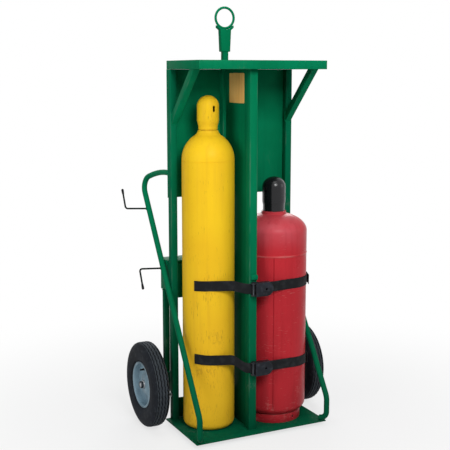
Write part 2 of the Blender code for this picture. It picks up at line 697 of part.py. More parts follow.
# Axle legs under the tool box, and bracket plates between leg and upright with a stub axle welded in each
LEG_FRONT = AXLE_Y + LEG_FRONT_CLEARANCE
LEG_Y = LEG_FRONT + LEG_SIZE / 2
LEG_X = HALF_FRAME - LEG_SIZE / 2
LEG_BOTTOM = AXLE_Z - LEG_BELOW_AXLE
for side, sign in (("left", -1), ("right", 1)):
    square_tube(side + "_axle_leg", sign * LEG_X, LEG_Y, LEG_SIZE, UPRIGHT_WALL,
                LEG_BOTTOM, BOX_BOTTOM - GAP, GREEN)
BRACKET_OUTER = HALF_FRAME - BRACKET_INSET
BRACKET_INNER = BRACKET_OUTER - BRACKET_THICKNESS
HUB_OUTER = WHEEL_X - HUB_INSET + HUB_LENGTH / 2
HUB_INNER = HUB_OUTER - HUB_LENGTH
AXLE_STEP = HUB_INNER - GAP
NUT_INNER = HUB_OUTER + GAP
AXLE_END = NUT_INNER + NUT_THICKNESS + GAP
AXLE_START = BRACKET_INNER - AXLE_BUTT
stub_axle = [(0.0, AXLE_START), (AXLE_RADIUS, AXLE_START), (AXLE_RADIUS, AXLE_STEP),
             (JOURNAL_RADIUS, AXLE_STEP), (JOURNAL_RADIUS, AXLE_END), (0.0, AXLE_END)]
for side, sign in (("left", -1), ("right", 1)):
    low_x, high_x = sorted((sign * BRACKET_INNER, sign * BRACKET_OUTER))
    bracket = box(side + "_axle_bracket", (low_x, UPRIGHT_REAR + GAP, LEG_BOTTOM),
                  (high_x, LEG_FRONT - GAP, LEG_BOTTOM + BRACKET_HEIGHT), GREEN)
    bm = bmesh.new()
    lathe_into(bm, [(r, sign * x) for r, x in stub_axle], RATCHET_SEGMENTS, "X")
    combine(bracket, place("stub_axle", bm, GREEN, (0.0, AXLE_Y, AXLE_Z)), "UNION")

# Wheels: pneumatic tyre on a dished rim, hub turning on the axle, valve stem through the dish
HALF_BEAD = BEAD_WIDTH / 2
HALF_TYRE = TYRE_WIDTH / 2
SIDEWALL = TYRE_RADIUS - BEAD_RADIUS
BARREL = BEAD_RADIUS - GAP
tyre_half = [(BEAD_RADIUS, HALF_BEAD), (BEAD_RADIUS + RIM_FLANGE + LOOSE / 2, HALF_BEAD)]
for height, width in TYRE_FLANK_RATIOS:
    tyre_half.append((BEAD_RADIUS + SIDEWALL * height, HALF_TYRE * width))
tyre_inner = [
    (TYRE_RADIUS - TYRE_WALL, HALF_TYRE * TYRE_CROWN_RATIO),
    (BEAD_RADIUS + SIDEWALL * TYRE_CAVITY_RATIO, HALF_TYRE - TYRE_WALL),
    (BEAD_RADIUS + TYRE_WALL, HALF_BEAD - TYRE_WALL), (BEAD_RADIUS, HALF_BEAD - TYRE_WALL),
]
tyre_profile = tyre_half + [(r, -x) for r, x in reversed(tyre_half)]
tyre_profile += [(r, -x) for r, x in reversed(tyre_inner)] + tyre_inner
FLANGE_IN = HALF_BEAD + GAP
FLANGE_OUT = FLANGE_IN + RIM_WALL
WELL = BARREL - RIM_WALL
for side, sign in (("left", -1), ("right", 1)):
    centre = (sign * WHEEL_X, AXLE_Y, AXLE_Z)
    lathe(side + "_tyre", tyre_profile, WHEEL_SEGMENTS, RUBBER, centre, "X", True)
    rim = [
        (BARREL + RIM_FLANGE, FLANGE_IN), (BARREL, FLANGE_IN), (BARREL, -FLANGE_IN),
        (BARREL + RIM_FLANGE, -FLANGE_IN), (BARREL + RIM_FLANGE, -FLANGE_OUT),
        (WELL, -FLANGE_OUT), (WELL, DISH_OUTER - RIM_WALL),
        (DISH_BREAK_RADIUS - RIM_WALL / 2, DISH_BREAK - RIM_WALL),
        (DISH_FACE_RADIUS - RIM_WALL / 2, DISH_FACE - RIM_WALL), (HUB_RADIUS + GAP, DISH_FACE - RIM_WALL),
        (HUB_RADIUS + GAP, DISH_FACE), (DISH_FACE_RADIUS, DISH_FACE), (DISH_BREAK_RADIUS, DISH_BREAK),
        (WELL, DISH_OUTER), (WELL, FLANGE_OUT), (BARREL + RIM_FLANGE, FLANGE_OUT),
    ]
    lathe(side + "_rim", [(r, sign * x) for r, x in rim], WHEEL_SEGMENTS, RIM_GREY, centre, "X", True)
    hub = [(JOURNAL_RADIUS + GAP, HUB_INNER), (HUB_RADIUS, HUB_INNER), (HUB_RADIUS, HUB_OUTER),
           (JOURNAL_RADIUS + GAP, HUB_OUTER)]
    hub = [(r, sign * (x - WHEEL_X)) for r, x in hub]
    lathe(side + "_hub", hub, RATCHET_SEGMENTS, RIM_GREY, centre, "X", True)
    bm = bmesh.new()
    dish_slope = (DISH_OUTER - DISH_BREAK) / (WELL - DISH_BREAK_RADIUS)
    stem_foot = DISH_BREAK + dish_slope * (VALVE_POSITION - VALVE_RADIUS - DISH_BREAK_RADIUS) + GAP
    sleeve_end = stem_foot + VALVE_SLEEVE
    stem = [(0.0, stem_foot), (VALVE_RADIUS, stem_foot), (VALVE_RADIUS, sleeve_end),
            (VALVE_TIP_RADIUS, sleeve_end + VALVE_TAPER), (VALVE_TIP_RADIUS, stem_foot + VALVE_LENGTH),
            (0.0, stem_foot + VALVE_LENGTH)]
    stem = [(r, sign * x) for r, x in stem]
    stem_place = Matrix.Translation((0.0, 0.0, VALVE_POSITION))
    lathe_into(bm, stem, STEM_SEGMENTS, "X", False, stem_place)
    place(side + "_valve_stem", bm, RUBBER, centre, True)
    bore = JOURNAL_RADIUS + GAP
    nuts = bmesh.new()
    nut_loops = []
    nut_outer = NUT_INNER + NUT_THICKNESS
    flat = 2.0 * math.pi / NUT_SIDES
    for radius, x, sided in ((bore, NUT_INNER, False), (NUT_RADIUS, NUT_INNER, True),
                             (NUT_RADIUS, nut_outer, True), (bore, nut_outer, False)):
        loop = []
        for k in range(NUT_SEGMENTS):
            angle = 2.0 * math.pi * k / NUT_SEGMENTS
            r = radius
            if sided:
                r = radius * math.cos(flat / 2) / math.cos(angle % flat - flat / 2)
            y = AXLE_Y + r * math.cos(angle)
            loop.append(nuts.verts.new((sign * x, y, AXLE_Z + r * math.sin(angle))))
        nut_loops.append(loop)
    add_loops(nuts, nut_loops, True, "join")
    place(side + "_axle_nut", nuts, STEEL)


def valve_set(name, x, y, seat, skirt_radius):
    """A brass cylinder valve screwed into the neck, and its handwheel."""
    neck_top = seat + NECK_HEIGHT
    flange = neck_top + GAP
    body = flange + VALVE_FLANGE_HEIGHT
    bonnet = body + VALVE_BODY_HEIGHT
    top = bonnet + VALVE_BONNET_HEIGHT
    well = SPINDLE_RADIUS + GAP
    profile = [(0.0, seat - NECK_ROOT), (NECK_BORE - GAP, seat - NECK_ROOT), (NECK_BORE - GAP, flange),
               (VALVE_FLANGE_RADIUS, flange), (VALVE_FLANGE_RADIUS, body), (VALVE_BODY_RADIUS, body),
               (VALVE_BODY_RADIUS, bonnet), (VALVE_BONNET_RADIUS, bonnet), (VALVE_BONNET_RADIUS, top),
               (well, top), (well, top - SPINDLE_DEPTH - GAP), (0.0, top - SPINDLE_DEPTH - GAP)]
    valve = lathe(name + "_valve", profile, VALVE_SEGMENTS, BRASS, (x, y, 0.0))
    bm = bmesh.new()
    outlet_turn = Matrix.Rotation(math.radians(90.0), 4, "Z")
    lathe_into(bm, rod_profile(VALVE_OUTLET_RADIUS, 0.0, min(VALVE_OUTLET_REACH, skirt_radius - CAP_WALL)),
               VALVE_SEGMENTS, "X", False, outlet_turn)
    combine(valve, place("outlet", bm, BRASS, (x, y, body + VALVE_BODY_HEIGHT / 2)), "UNION")
    wheel_foot = GAP
    wheel = [(0.0, -SPINDLE_DEPTH), (SPINDLE_RADIUS, -SPINDLE_DEPTH), (SPINDLE_RADIUS, wheel_foot),
             (HANDWHEEL_RADIUS, wheel_foot), (HANDWHEEL_RADIUS, wheel_foot + HANDWHEEL_THICKNESS),
             (0.0, wheel_foot + HANDWHEEL_THICKNESS)]
    lathe(name + "_handwheel", wheel, VALVE_SEGMENTS, BLACK, (x, y, top), "Z", False,
          {3: HANDWHEEL_LOBE, 4: HANDWHEEL_LOBE})


def cap(name, x, y, foot, thread, skirt, flare, radius, body, dome, slot_angle, mat):
    """A screwed protection cap with two vent slots and a hole in its crown."""
    bore = thread + THREAD
    skirt_radius = bore + CAP_WALL
    shoulder = skirt + flare
    spring = shoulder + body
    inner = radius - CAP_WALL
    outer_dome = [(r, spring + z) for r, z in quarter(radius, dome, CAP_DOME_STEPS, CAP_HOLE)]
    inner_dome = [(r, spring + z) for r, z in quarter(inner, dome - CAP_WALL, CAP_INNER_STEPS, CAP_HOLE)]
    profile = [(bore, 0.0), (skirt_radius, 0.0), (skirt_radius, skirt), (radius, shoulder)] + outer_dome
    profile += list(reversed(inner_dome)) + [(inner, shoulder), (bore, skirt)]
    piece = lathe(name, profile, CAP_SEGMENTS, mat, (x, y, foot), "Z", True)
    slot_z = shoulder + body - SLOT_WIDTH
    outline = []
    slot_radius = SLOT_WIDTH / 2
    slot_reach = SLOT_HEIGHT / 2 - slot_radius
    for centre, start in ((slot_reach, 0.0), (-slot_reach, math.pi)):
        for k in range(SLOT_STEPS + 1):
            angle = start + math.pi * k / SLOT_STEPS
            outline.append((slot_radius * math.cos(angle), centre + slot_radius * math.sin(angle)))
    bm = bmesh.new()
    prism_into(bm, outline, -radius * 2, radius * 2, "Y")
    slot_turn = Matrix.Rotation(slot_angle - math.pi / 2, 3, "Z")
    bmesh.ops.rotate(bm, verts=bm.verts, cent=(0, 0, 0), matrix=slot_turn)
    combine(piece, place("slots", bm, mat, (x, y, foot + slot_z)), "DIFFERENCE")


# Oxygen cylinder: hollow steel bottle with a neck collar, its valve and its cap
dome_foot = STAND + OXYGEN_BODY
dome = quarter(OXYGEN_RADIUS, OXYGEN_SHOULDER, SHOULDER_STEPS, OXYGEN_COLLAR + COLLAR_LEDGE)
shoulder = [(r, dome_foot + z) for r, z in dome]
oxygen_seat = shoulder[-1][1]
oxygen_inner = OXYGEN_RADIUS - OXYGEN_WALL
dome = quarter(oxygen_inner, OXYGEN_SHOULDER - OXYGEN_WALL * 2, INNER_STEPS, NECK_BORE)
inner_shoulder = [(r, dome_foot + z) for r, z in dome]
knuckle = [(OXYGEN_RADIUS - OXYGEN_KNUCKLE + r, STAND + OXYGEN_KNUCKLE - z)
           for r, z in reversed(quarter(OXYGEN_KNUCKLE, OXYGEN_KNUCKLE, KNUCKLE_STEPS))]
floor_z = STAND + OXYGEN_FLOOR
shell = [(0.0, STAND)] + knuckle + shoulder
shell += [(OXYGEN_COLLAR, oxygen_seat), (OXYGEN_COLLAR, oxygen_seat + COLLAR_HEIGHT),
          (OXYGEN_THREAD, oxygen_seat + COLLAR_HEIGHT), (OXYGEN_THREAD, oxygen_seat + NECK_HEIGHT),
          (NECK_BORE, oxygen_seat + NECK_HEIGHT)]
shell += list(reversed(inner_shoulder))
shell += [(oxygen_inner, STAND + OXYGEN_KNUCKLE + OXYGEN_FLOOR),
          (OXYGEN_RADIUS - OXYGEN_KNUCKLE, floor_z), (0.0, floor_z)]
lathe("oxygen_cylinder", shell, CYLINDER_SEGMENTS, YELLOW, (OXYGEN_X, OXYGEN_Y, 0.0))
valve_set("oxygen", OXYGEN_X, OXYGEN_Y, oxygen_seat, OXYGEN_CAP_RADIUS)
cap("oxygen_cap", OXYGEN_X, OXYGEN_Y, oxygen_seat + COLLAR_HEIGHT + GAP, OXYGEN_THREAD, OXYGEN_CAP_SKIRT,
    OXYGEN_CAP_FLARE, OXYGEN_CAP_RADIUS, OXYGEN_CAP_BODY, OXYGEN_CAP_DOME, OXYGEN_SLOT_ANGLE, YELLOW)

# Acetylene cylinder: hollow bottle with domed ends on a foot ring, its valve and its cap
ring_inner = FOOT_RING_RADIUS - FOOT_RING_WALL
bottom_rise = ACETYLENE_BOTTOM_HEAD * math.sqrt(1.0 - (ring_inner / ACETYLENE_RADIUS) ** 2)
body_foot = STAND + FOOT_RING_HEIGHT + GAP + bottom_rise
body_top = body_foot + ACETYLENE_BODY
bottle_inner = ACETYLENE_RADIUS - ACETYLENE_WALL
dome = quarter(ACETYLENE_RADIUS, ACETYLENE_BOTTOM_HEAD, BOTTOM_STEPS)
bottom = [(r, body_foot - z) for r, z in reversed(dome)]
dome = quarter(ACETYLENE_RADIUS, ACETYLENE_HEAD, HEAD_STEPS, ACETYLENE_COLLAR + COLLAR_LEDGE)
head = [(r, body_top + z) for r, z in dome]
acetylene_seat = head[-1][1]
dome = quarter(bottle_inner, ACETYLENE_HEAD - ACETYLENE_WALL * 2, INNER_STEPS, NECK_BORE)
inner_head = [(r, body_top + z) for r, z in dome]
dome = quarter(bottle_inner, ACETYLENE_BOTTOM_HEAD - ACETYLENE_WALL, BOTTOM_INNER_STEPS)
inner_bottom = [(r, body_foot - z) for r, z in dome]
shell = [(0.0, bottom[0][1])] + bottom[1:] + head
shell += [(ACETYLENE_COLLAR, acetylene_seat), (ACETYLENE_COLLAR, acetylene_seat + COLLAR_HEIGHT),
          (ACETYLENE_THREAD, acetylene_seat + COLLAR_HEIGHT),
          (ACETYLENE_THREAD, acetylene_seat + NECK_HEIGHT),
          (NECK_BORE, acetylene_seat + NECK_HEIGHT)]
shell += list(reversed(inner_head)) + inner_bottom[:-1] + [(0.0, inner_bottom[-1][1])]
lathe("acetylene_cylinder", shell, CYLINDER_SEGMENTS, RED, (ACETYLENE_X, ACETYLENE_Y, 0.0))
ring = [(ring_inner, STAND), (FOOT_RING_RADIUS, STAND), (FOOT_RING_RADIUS, STAND + FOOT_RING_HEIGHT),
        (ring_inner, STAND + FOOT_RING_HEIGHT)]
foot_ring = lathe("acetylene_foot_ring", ring, CYLINDER_SEGMENTS, RED,
                  (ACETYLENE_X, ACETYLENE_Y, 0.0), "Z", True)
bm = bmesh.new()
for angle in DRAIN_ANGLES:
    lathe_into(bm, rod_profile(DRAIN_RADIUS, ring_inner / 2, FOOT_RING_RADIUS * 2), STEM_SEGMENTS, "X", False,
               Matrix.Rotation(angle, 4, "Z"))
drains = place("drains", bm, RED, (ACETYLENE_X, ACETYLENE_Y, STAND + FOOT_RING_HEIGHT / 2))
combine(foot_ring, drains, "DIFFERENCE")
valve_set("acetylene", ACETYLENE_X, ACETYLENE_Y, acetylene_seat, ACETYLENE_CAP_RADIUS)
cap("acetylene_cap", ACETYLENE_X, ACETYLENE_Y, acetylene_seat + COLLAR_HEIGHT + GAP, ACETYLENE_THREAD,
    ACETYLENE_CAP_SKIRT, ACETYLENE_CAP_FLARE, ACETYLENE_CAP_RADIUS, ACETYLENE_CAP_BODY, ACETYLENE_CAP_DOME,
    ACETYLENE_SLOT_ANGLE, BLACK)

# Straps: a tail on the oxygen cylinder, a ratchet on the front post and a band round the acetylene cylinder
HALF_STRAP = STRAP_THICKNESS / 2
LAY = GAP + HALF_STRAP
SPOOL_Y = -FIREWALL_FRONT - GEAR_RADIUS - SPOOL_CLEARANCE
GEAR_IN = STRAP_WIDTH / 2 + LOOSE / 2
GEAR_OUT = GEAR_IN + GEAR_THICKNESS
PLATE_IN = GEAR_OUT + GAP
PLATE_OUT = PLATE_IN + RATCHET_PLATE
CHEEK_IN = PLATE_OUT + GAP
CHEEK_OUT = CHEEK_IN + HANDLE_PLATE


def band(name, points):
    """A strap standing on edge along a path of points."""
    bm = bmesh.new()
    loops = []
    count = len(points)
    for i, point in enumerate(points):
        along = Vector((0.0, 0.0, 0.0))
        if i > 0:
            along += (point - points[i - 1]).xy.normalized().to_3d()
        if i < count - 1:
            along += (points[i + 1] - point).xy.normalized().to_3d()
        out = Vector((along.y, -along.x, 0.0)).normalized() * HALF_STRAP
        up = Vector((0.0, 0.0, STRAP_WIDTH / 2))
        loops.append([bm.verts.new(point + out + up), bm.verts.new(point - out + up),
                      bm.verts.new(point - out - up), bm.verts.new(point + out - up)])
    add_loops(bm, loops, True, "cap")
    return place(name, bm, WEBBING)


def arc(centre, radius, start, stop, step):
    """Points on a circle in plan."""
    steps = max(2, math.ceil(abs(stop - start) / step))
    points = []
    for k in range(steps + 1):
        angle = start + (stop - start) * k / steps
        points.append(Vector((centre[0] + radius * math.cos(angle), centre[1] + radius * math.sin(angle))))
    return points


def crossing(front, front_radius, rear, rear_radius, turn):
    """Angle of the normal of a line that passes behind one circle and in front of another."""
    span = Vector((rear[0] - front[0], rear[1] - front[1]))
    return math.atan2(span.y, span.x) + turn * math.acos((front_radius + rear_radius) / span.length)


def ratchet_plate(bm, near, far, length, nose):
    """A side plate with a round nose about the spool."""
    outline = [(length, nose), (length, -nose)]
    for k in range(NOSE_STEPS + 1):
        angle = -math.pi / 2 - math.pi * k / NOSE_STEPS
        outline.append((nose * math.cos(angle), nose * math.sin(angle)))
    prism_into(bm, outline, near, far, "Z")


for level, tail_z, ratchet_z, band_z in (("upper", UPPER_TAIL_Z, UPPER_RATCHET_Z, UPPER_BAND_Z),
                                         ("lower", LOWER_TAIL_Z, LOWER_RATCHET_Z, LOWER_BAND_Z)):
    spool_at = (SPOOL_X, SPOOL_Y, ratchet_z)
    # tail: from its free end round the oxygen cylinder, then straight to the spool and half round the drum
    oxygen_lay = OXYGEN_RADIUS + LAY
    drum_lay = DRUM_RADIUS + LAY
    normal = crossing((SPOOL_X, SPOOL_Y), drum_lay, (OXYGEN_X, OXYGEN_Y), oxygen_lay, -1)
    on_bottle = arc((OXYGEN_X, OXYGEN_Y), oxygen_lay, TAIL_END_ANGLE, normal - math.pi, STRAP_STEP)
    on_drum = arc((SPOOL_X, SPOOL_Y), drum_lay, normal, normal - math.pi, FOLD_STEP)
    points = []
    for k, p in enumerate(on_bottle):
        share = k / (len(on_bottle) - 1)
        points.append(Vector((p.x, p.y, tail_z[0] + (tail_z[1] - tail_z[0]) * share)))
    lead = on_drum[0] + (on_bottle[-1] - on_drum[0]).normalized() * STRAP_LEAD
    points.append(Vector((lead.x, lead.y, ratchet_z)))
    points += [Vector((p.x, p.y, ratchet_z)) for p in on_drum]
    band(level + "_strap_tail", points)

    # ratchet frame: two plates tied by a cross bar
    bm = bmesh.new()
    for sign in (-1, 1):
        ratchet_plate(bm, sign * PLATE_IN, sign * PLATE_OUT, RATCHET_TIE + RATCHET_END, RATCHET_NOSE)
    frame = place(level + "_ratchet_frame", bm, STEEL, spool_at)
    bm = bmesh.new()
    tie_end = PLATE_IN + RATCHET_PLATE / 2
    tie_place = Matrix.Translation((RATCHET_TIE, 0.0, 0.0))
    lathe_into(bm, rod_profile(RATCHET_TIE_RADIUS, -tie_end, tie_end), ROD_SEGMENTS, "Z", False, tie_place)
    combine(frame, place("tie", bm, STEEL, spool_at), "UNION")
    bm = bmesh.new()
    lathe_into(bm, rod_profile(SPOOL_SHAFT + GAP, -CHEEK_OUT * 2, CHEEK_OUT * 2), RATCHET_SEGMENTS)
    combine(frame, place("spool_hole", bm, STEEL, spool_at), "DIFFERENCE")

    # spool: drum, two toothed wheels and shaft ends
    shaft_end = CHEEK_OUT + GAP
    spool = [(0.0, -shaft_end), (SPOOL_SHAFT, -shaft_end), (SPOOL_SHAFT, -GEAR_OUT), (GEAR_RADIUS, -GEAR_OUT),
             (GEAR_RADIUS, -GEAR_IN), (DRUM_RADIUS, -GEAR_IN), (DRUM_RADIUS, GEAR_IN), (GEAR_RADIUS, GEAR_IN),
             (GEAR_RADIUS, GEAR_OUT), (SPOOL_SHAFT, GEAR_OUT), (SPOOL_SHAFT, shaft_end), (0.0, shaft_end)]
    lathe(level + "_ratchet_spool", spool, RATCHET_SEGMENTS, STEEL, spool_at, "Z", False,
          {3: GEAR_TOOTH, 4: GEAR_TOOTH, 7: GEAR_TOOTH, 8: GEAR_TOOTH})

    # handle: two cheeks on the spool shaft and a round-ended grip with a finger hole
    bm = bmesh.new()
    for sign in (-1, 1):
        outline = [(GRIP_CHEEK, -GRIP_OFFSET), (GRIP_CHEEK, -RATCHET_NOSE), (0.0, RATCHET_NOSE)]
        for k in range(1, CHEEK_STEPS + 1):
            angle = math.pi / 2 * (1 + k / CHEEK_STEPS)
            outline.append((RATCHET_NOSE * math.cos(angle), RATCHET_NOSE * math.sin(angle)))
        outline.append((0.0, -GRIP_OFFSET))
        prism_into(bm, outline, sign * CHEEK_IN, sign * CHEEK_OUT, "Z")
    grip = place(level + "_ratchet_handle", bm, PLASTIC, spool_at)
    outline = [(0.0, CHEEK_OUT), (0.0, -CHEEK_OUT)]
    for k in range(GRIP_STEPS + 1):
        angle = -math.pi / 2 + math.pi * k / GRIP_STEPS
        end = GRIP_LENGTH - CHEEK_OUT + CHEEK_OUT * math.cos(angle)
        outline.append((end, CHEEK_OUT * math.sin(angle)))
    bm = bmesh.new()
    prism_into(bm, outline, -GRIP_OFFSET - HANDLE_PLATE, -GRIP_OFFSET + HANDLE_PLATE, "Y")
    combine(grip, place("grip", bm, PLASTIC, spool_at), "UNION")
    bm = bmesh.new()
    lathe_into(bm, rod_profile(SPOOL_SHAFT + GAP, -CHEEK_OUT * 2, CHEEK_OUT * 2), RATCHET_SEGMENTS)
    combine(grip, place("shaft_hole", bm, PLASTIC, spool_at), "DIFFERENCE")
    bm = bmesh.new()
    finger_place = Matrix.Translation((GRIP_HOLE_POSITION, 0.0, 0.0))
    finger_place = finger_place @ Matrix.Rotation(math.radians(90.0), 4, "X")
    finger = rod_profile(GRIP_HOLE, GRIP_OFFSET / 2, GRIP_OFFSET * 2)
    lathe_into(bm, finger, ROD_SEGMENTS, "Z", False, finger_place)
    combine(grip, place("finger_hole", bm, PLASTIC, spool_at), "DIFFERENCE")

    # pawl: a bar that slides along the grip, away from the toothed wheels
    pawl_near = GEAR_RADIUS + PAWL_CLEARANCE
    pawl_top = -GRIP_OFFSET + HANDLE_PLATE + GAP
    bm = bmesh.new()
    box_into(bm, (pawl_near, pawl_top, -GEAR_OUT),
             (pawl_near + PAWL_LENGTH, pawl_top + PAWL_DEPTH, GEAR_OUT))
    place(level + "_ratchet_pawl", bm, STEEL, spool_at)

    # band: looped on the tie bar, round the acetylene cylinder and folded over the anchor bar
    tie_at = (SPOOL_X + RATCHET_TIE, SPOOL_Y)
    tie_lay = RATCHET_TIE_RADIUS + LAY
    bottle_lay = ACETYLENE_RADIUS + LAY
    normal = crossing(tie_at, tie_lay, (ACETYLENE_X, ACETYLENE_Y), bottle_lay, 1)
    anchor_lay = ANCHOR_ROD + LAY
    anchor_radius = bottle_lay + anchor_lay
    bar = (ACETYLENE_X + anchor_radius * math.cos(LOOP_ANGLE),
           ACETYLENE_Y + anchor_radius * math.sin(LOOP_ANGLE))
    plan = arc(tie_at, tie_lay, normal + math.pi, normal, FOLD_STEP)
    bottle_arc = arc((ACETYLENE_X, ACETYLENE_Y), bottle_lay, normal - math.pi, LOOP_ANGLE, STRAP_STEP)
    fold_arc = arc(bar, anchor_lay, LOOP_ANGLE + math.pi, LOOP_ANGLE + 2 * math.pi, FOLD_STEP)
    fold_end = LOOP_ANGLE - LOOP_FOLD
    fold_lay = bottle_lay + FOLD_STANDOFF
    last = Vector((ACETYLENE_X + fold_lay * math.cos(fold_end),
                   ACETYLENE_Y + fold_lay * math.sin(fold_end)))
    points = [Vector((p.x, p.y, ratchet_z)) for p in plan]
    for k, p in enumerate(bottle_arc):
        share = k / (len(bottle_arc) - 1)
        points.append(Vector((p.x, p.y, band_z[0] + (band_z[1] - band_z[0]) * share)))
    points += [Vector((p.x, p.y, band_z[1])) for p in fold_arc[1:]]
    points.append(Vector((last.x, last.y, band_z[1])))
    band(level + "_strap_band", points)

    # anchor loop: a bent rod welded to the right upright, its bar inside the fold
    apex_y = UPRIGHT_FRONT - GAP - ANCHOR_ROD
    apex_x = HALF_FRAME - ANCHOR_ROD
    reach = STRAP_WIDTH / 2 + LOOSE + ANCHOR_ROD
    corners = [Vector((bar[0], bar[1], band_z[1])), Vector((bar[0], bar[1], band_z[1] + reach)),
               Vector((apex_x, apex_y, band_z[1] + reach)), Vector((apex_x, apex_y, band_z[1] - reach)),
               Vector((bar[0], bar[1], band_z[1] - reach)), Vector((bar[0], bar[1], band_z[1]))]
    loop_path = fillet_path(corners, (ANCHOR_BEND,) * 4, ANCHOR_BEND_STEPS)
    bm = bmesh.new()
    round_bar_into(bm, loop_path[1:], ANCHOR_ROD, HOOK_SIDES, True)
    place(level + "_strap_anchor", bm, STEEL, (0.0, 0.0, 0.0), True)
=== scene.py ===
# Two-cylinder oxy acetylene torch cart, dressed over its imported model.
import math

import bmesh
import bpy
from mathutils import Matrix, Vector


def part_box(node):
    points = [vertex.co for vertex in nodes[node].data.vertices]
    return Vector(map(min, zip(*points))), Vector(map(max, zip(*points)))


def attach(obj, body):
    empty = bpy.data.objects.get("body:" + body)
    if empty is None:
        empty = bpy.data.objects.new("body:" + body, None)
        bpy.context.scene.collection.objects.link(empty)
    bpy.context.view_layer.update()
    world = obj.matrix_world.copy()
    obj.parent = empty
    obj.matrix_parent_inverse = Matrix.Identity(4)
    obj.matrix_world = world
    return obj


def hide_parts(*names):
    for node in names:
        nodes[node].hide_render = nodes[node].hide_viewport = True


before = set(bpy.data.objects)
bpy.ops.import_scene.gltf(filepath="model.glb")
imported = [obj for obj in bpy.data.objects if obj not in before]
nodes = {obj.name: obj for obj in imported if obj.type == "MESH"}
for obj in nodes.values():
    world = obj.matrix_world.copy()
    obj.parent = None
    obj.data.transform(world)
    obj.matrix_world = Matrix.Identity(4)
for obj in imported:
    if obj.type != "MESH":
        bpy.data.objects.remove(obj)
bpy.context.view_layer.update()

scene = bpy.context.scene
scene.view_settings.view_transform = "Standard"


# Studio: a pale floor, soft lamps at a plain level and a white surround. The camera stands at the
# front left of the cart, a little above the cylinder caps, and looks slightly down.
def colour(code):
    """sRGB hex to the linear values that a shader takes."""
    channels = []
    for start in (1, 3, 5):
        value = int(code[start:start + 2], 16) / 255.0
        channels.append(value / 12.92 if value <= 0.04045 else ((value + 0.055) / 1.055) ** 2.4)
    return (*channels, 1.0)


def add_node(tree, kind, inputs=None, **settings):
    """One node with its settings, its constants and its incoming links."""
    made = tree.nodes.new(kind)
    for key, value in settings.items():
        setattr(made, key, value)
    for key, value in (inputs or {}).items():
        if isinstance(value, bpy.types.NodeSocket):
            tree.links.new(value, made.inputs[key])
        else:
            made.inputs[key].default_value = value
    return made


def bare_tree(owner):
    """The empty node tree of a material or world."""
    owner.use_nodes = True
    owner.node_tree.nodes.clear()
    return owner.node_tree


camera = bpy.data.objects.new("camera", bpy.data.cameras.new("camera"))
camera.data.sensor_width = 36.0
camera.data.lens = 74.64
camera.location = (-1.9332, -3.7032, 1.6236)
camera.rotation_euler = (math.radians(80.694), 0.0, math.radians(-26.417))
scene.collection.objects.link(camera)
scene.camera = camera

for name, spot, aim, size, power in (
    ("key_softbox", (-0.6, -3.7, 3.3), (0.0, 0.0, 1.2), 1.7, 134.0),
    ("left_softbox", (-4.2, -1.6, 2.2), (0.0, 0.0, 0.9), 2.0, 63.0),
    ("right_softbox", (3.6, -2.0, 1.8), (0.0, 0.0, 0.9), 2.0, 17.0),
    ("top_softbox", (-0.2, -0.4, 4.3), (0.0, 0.0, 0.8), 2.6, 55.0),
    ("rear_softbox", (1.6, 3.3, 2.6), (0.0, 0.0, 0.8), 2.4, 80.0),
):
    lamp = bpy.data.objects.new(name, bpy.data.lights.new(name, "AREA"))
    lamp.data.size = size
    lamp.data.energy = power
    lamp.location = spot
    lamp.rotation_euler = (Vector(aim) - Vector(spot)).to_track_quat("-Z", "Y").to_euler()
    scene.collection.objects.link(lamp)


def seen_directly(tree):
    """1 for the rays that show the surround itself, straight on, mirrored or through glass."""
    path = add_node(tree, "ShaderNodeLightPath")
    seen = path.outputs["Is Camera Ray"]
    for kind in ("Is Glossy Ray", "Is Transmission Ray"):
        either = add_node(tree, "ShaderNodeMath", {0: seen, 1: path.outputs[kind]}, operation="MAXIMUM")
        seen = either.outputs[0]
    return seen


scene.world = bpy.data.worlds.new("studio_air")
tree = bare_tree(scene.world)
air = add_node(tree, "ShaderNodeBackground", {"Color": colour("#f3f6f8"), "Strength": 0.20})
white = add_node(tree, "ShaderNodeBackground", {"Color": colour("#ffffff"), "Strength": 1.0})
surround = add_node(tree, "ShaderNodeMixShader",
                    {0: seen_directly(tree), 1: air.outputs[0], 2: white.outputs[0]})
add_node(tree, "ShaderNodeOutputWorld", {"Surface": surround.outputs[0]})

FLOOR_HALF = 7.0
floor_mesh = bpy.data.meshes.new("floor")
floor_corners = [(FLOOR_HALF * x, FLOOR_HALF * y, 0.0) for x, y in ((-1, -1), (1, -1), (1, 1), (-1, 1))]
floor_mesh.from_pydata(floor_corners, [], [(0, 1, 2, 3)])
floor = bpy.data.objects.new("floor", floor_mesh)
scene.collection.objects.link(floor)
# floor paint, rolled: matt and pale, fading into the white surround but for the cart's shadow
floor_paint = bpy.data.materials.new("white_floor_paint_rolled")
tree = bare_tree(floor_paint)
where = add_node(tree, "ShaderNodeTexCoord").outputs["Object"]
away = add_node(tree, "ShaderNodeVectorMath", {0: where}, operation="LENGTH").outputs["Value"]
fade = add_node(tree, "ShaderNodeMapRange",
                {"Value": away, "From Min": 0.5, "From Max": 2.2, "To Min": 0.70, "To Max": 1.0},
                interpolation_type="SMOOTHSTEP").outputs[0]
share = add_node(tree, "ShaderNodeMath", {0: fade, 1: seen_directly(tree)}, operation="MULTIPLY").outputs[0]
paint = add_node(tree, "ShaderNodeBsdfDiffuse", {"Color": colour("#cfcfcf")})
glow = add_node(tree, "ShaderNodeEmission", {"Color": colour("#ffffff"), "Strength": 1.0})
mixed = add_node(tree, "ShaderNodeMixShader", {0: share, 1: paint.outputs[0], 2: glow.outputs[0]})
add_node(tree, "ShaderNodeOutputMaterial", {"Surface": mixed.outputs[0]})
floor_mesh.materials.append(floor_paint)


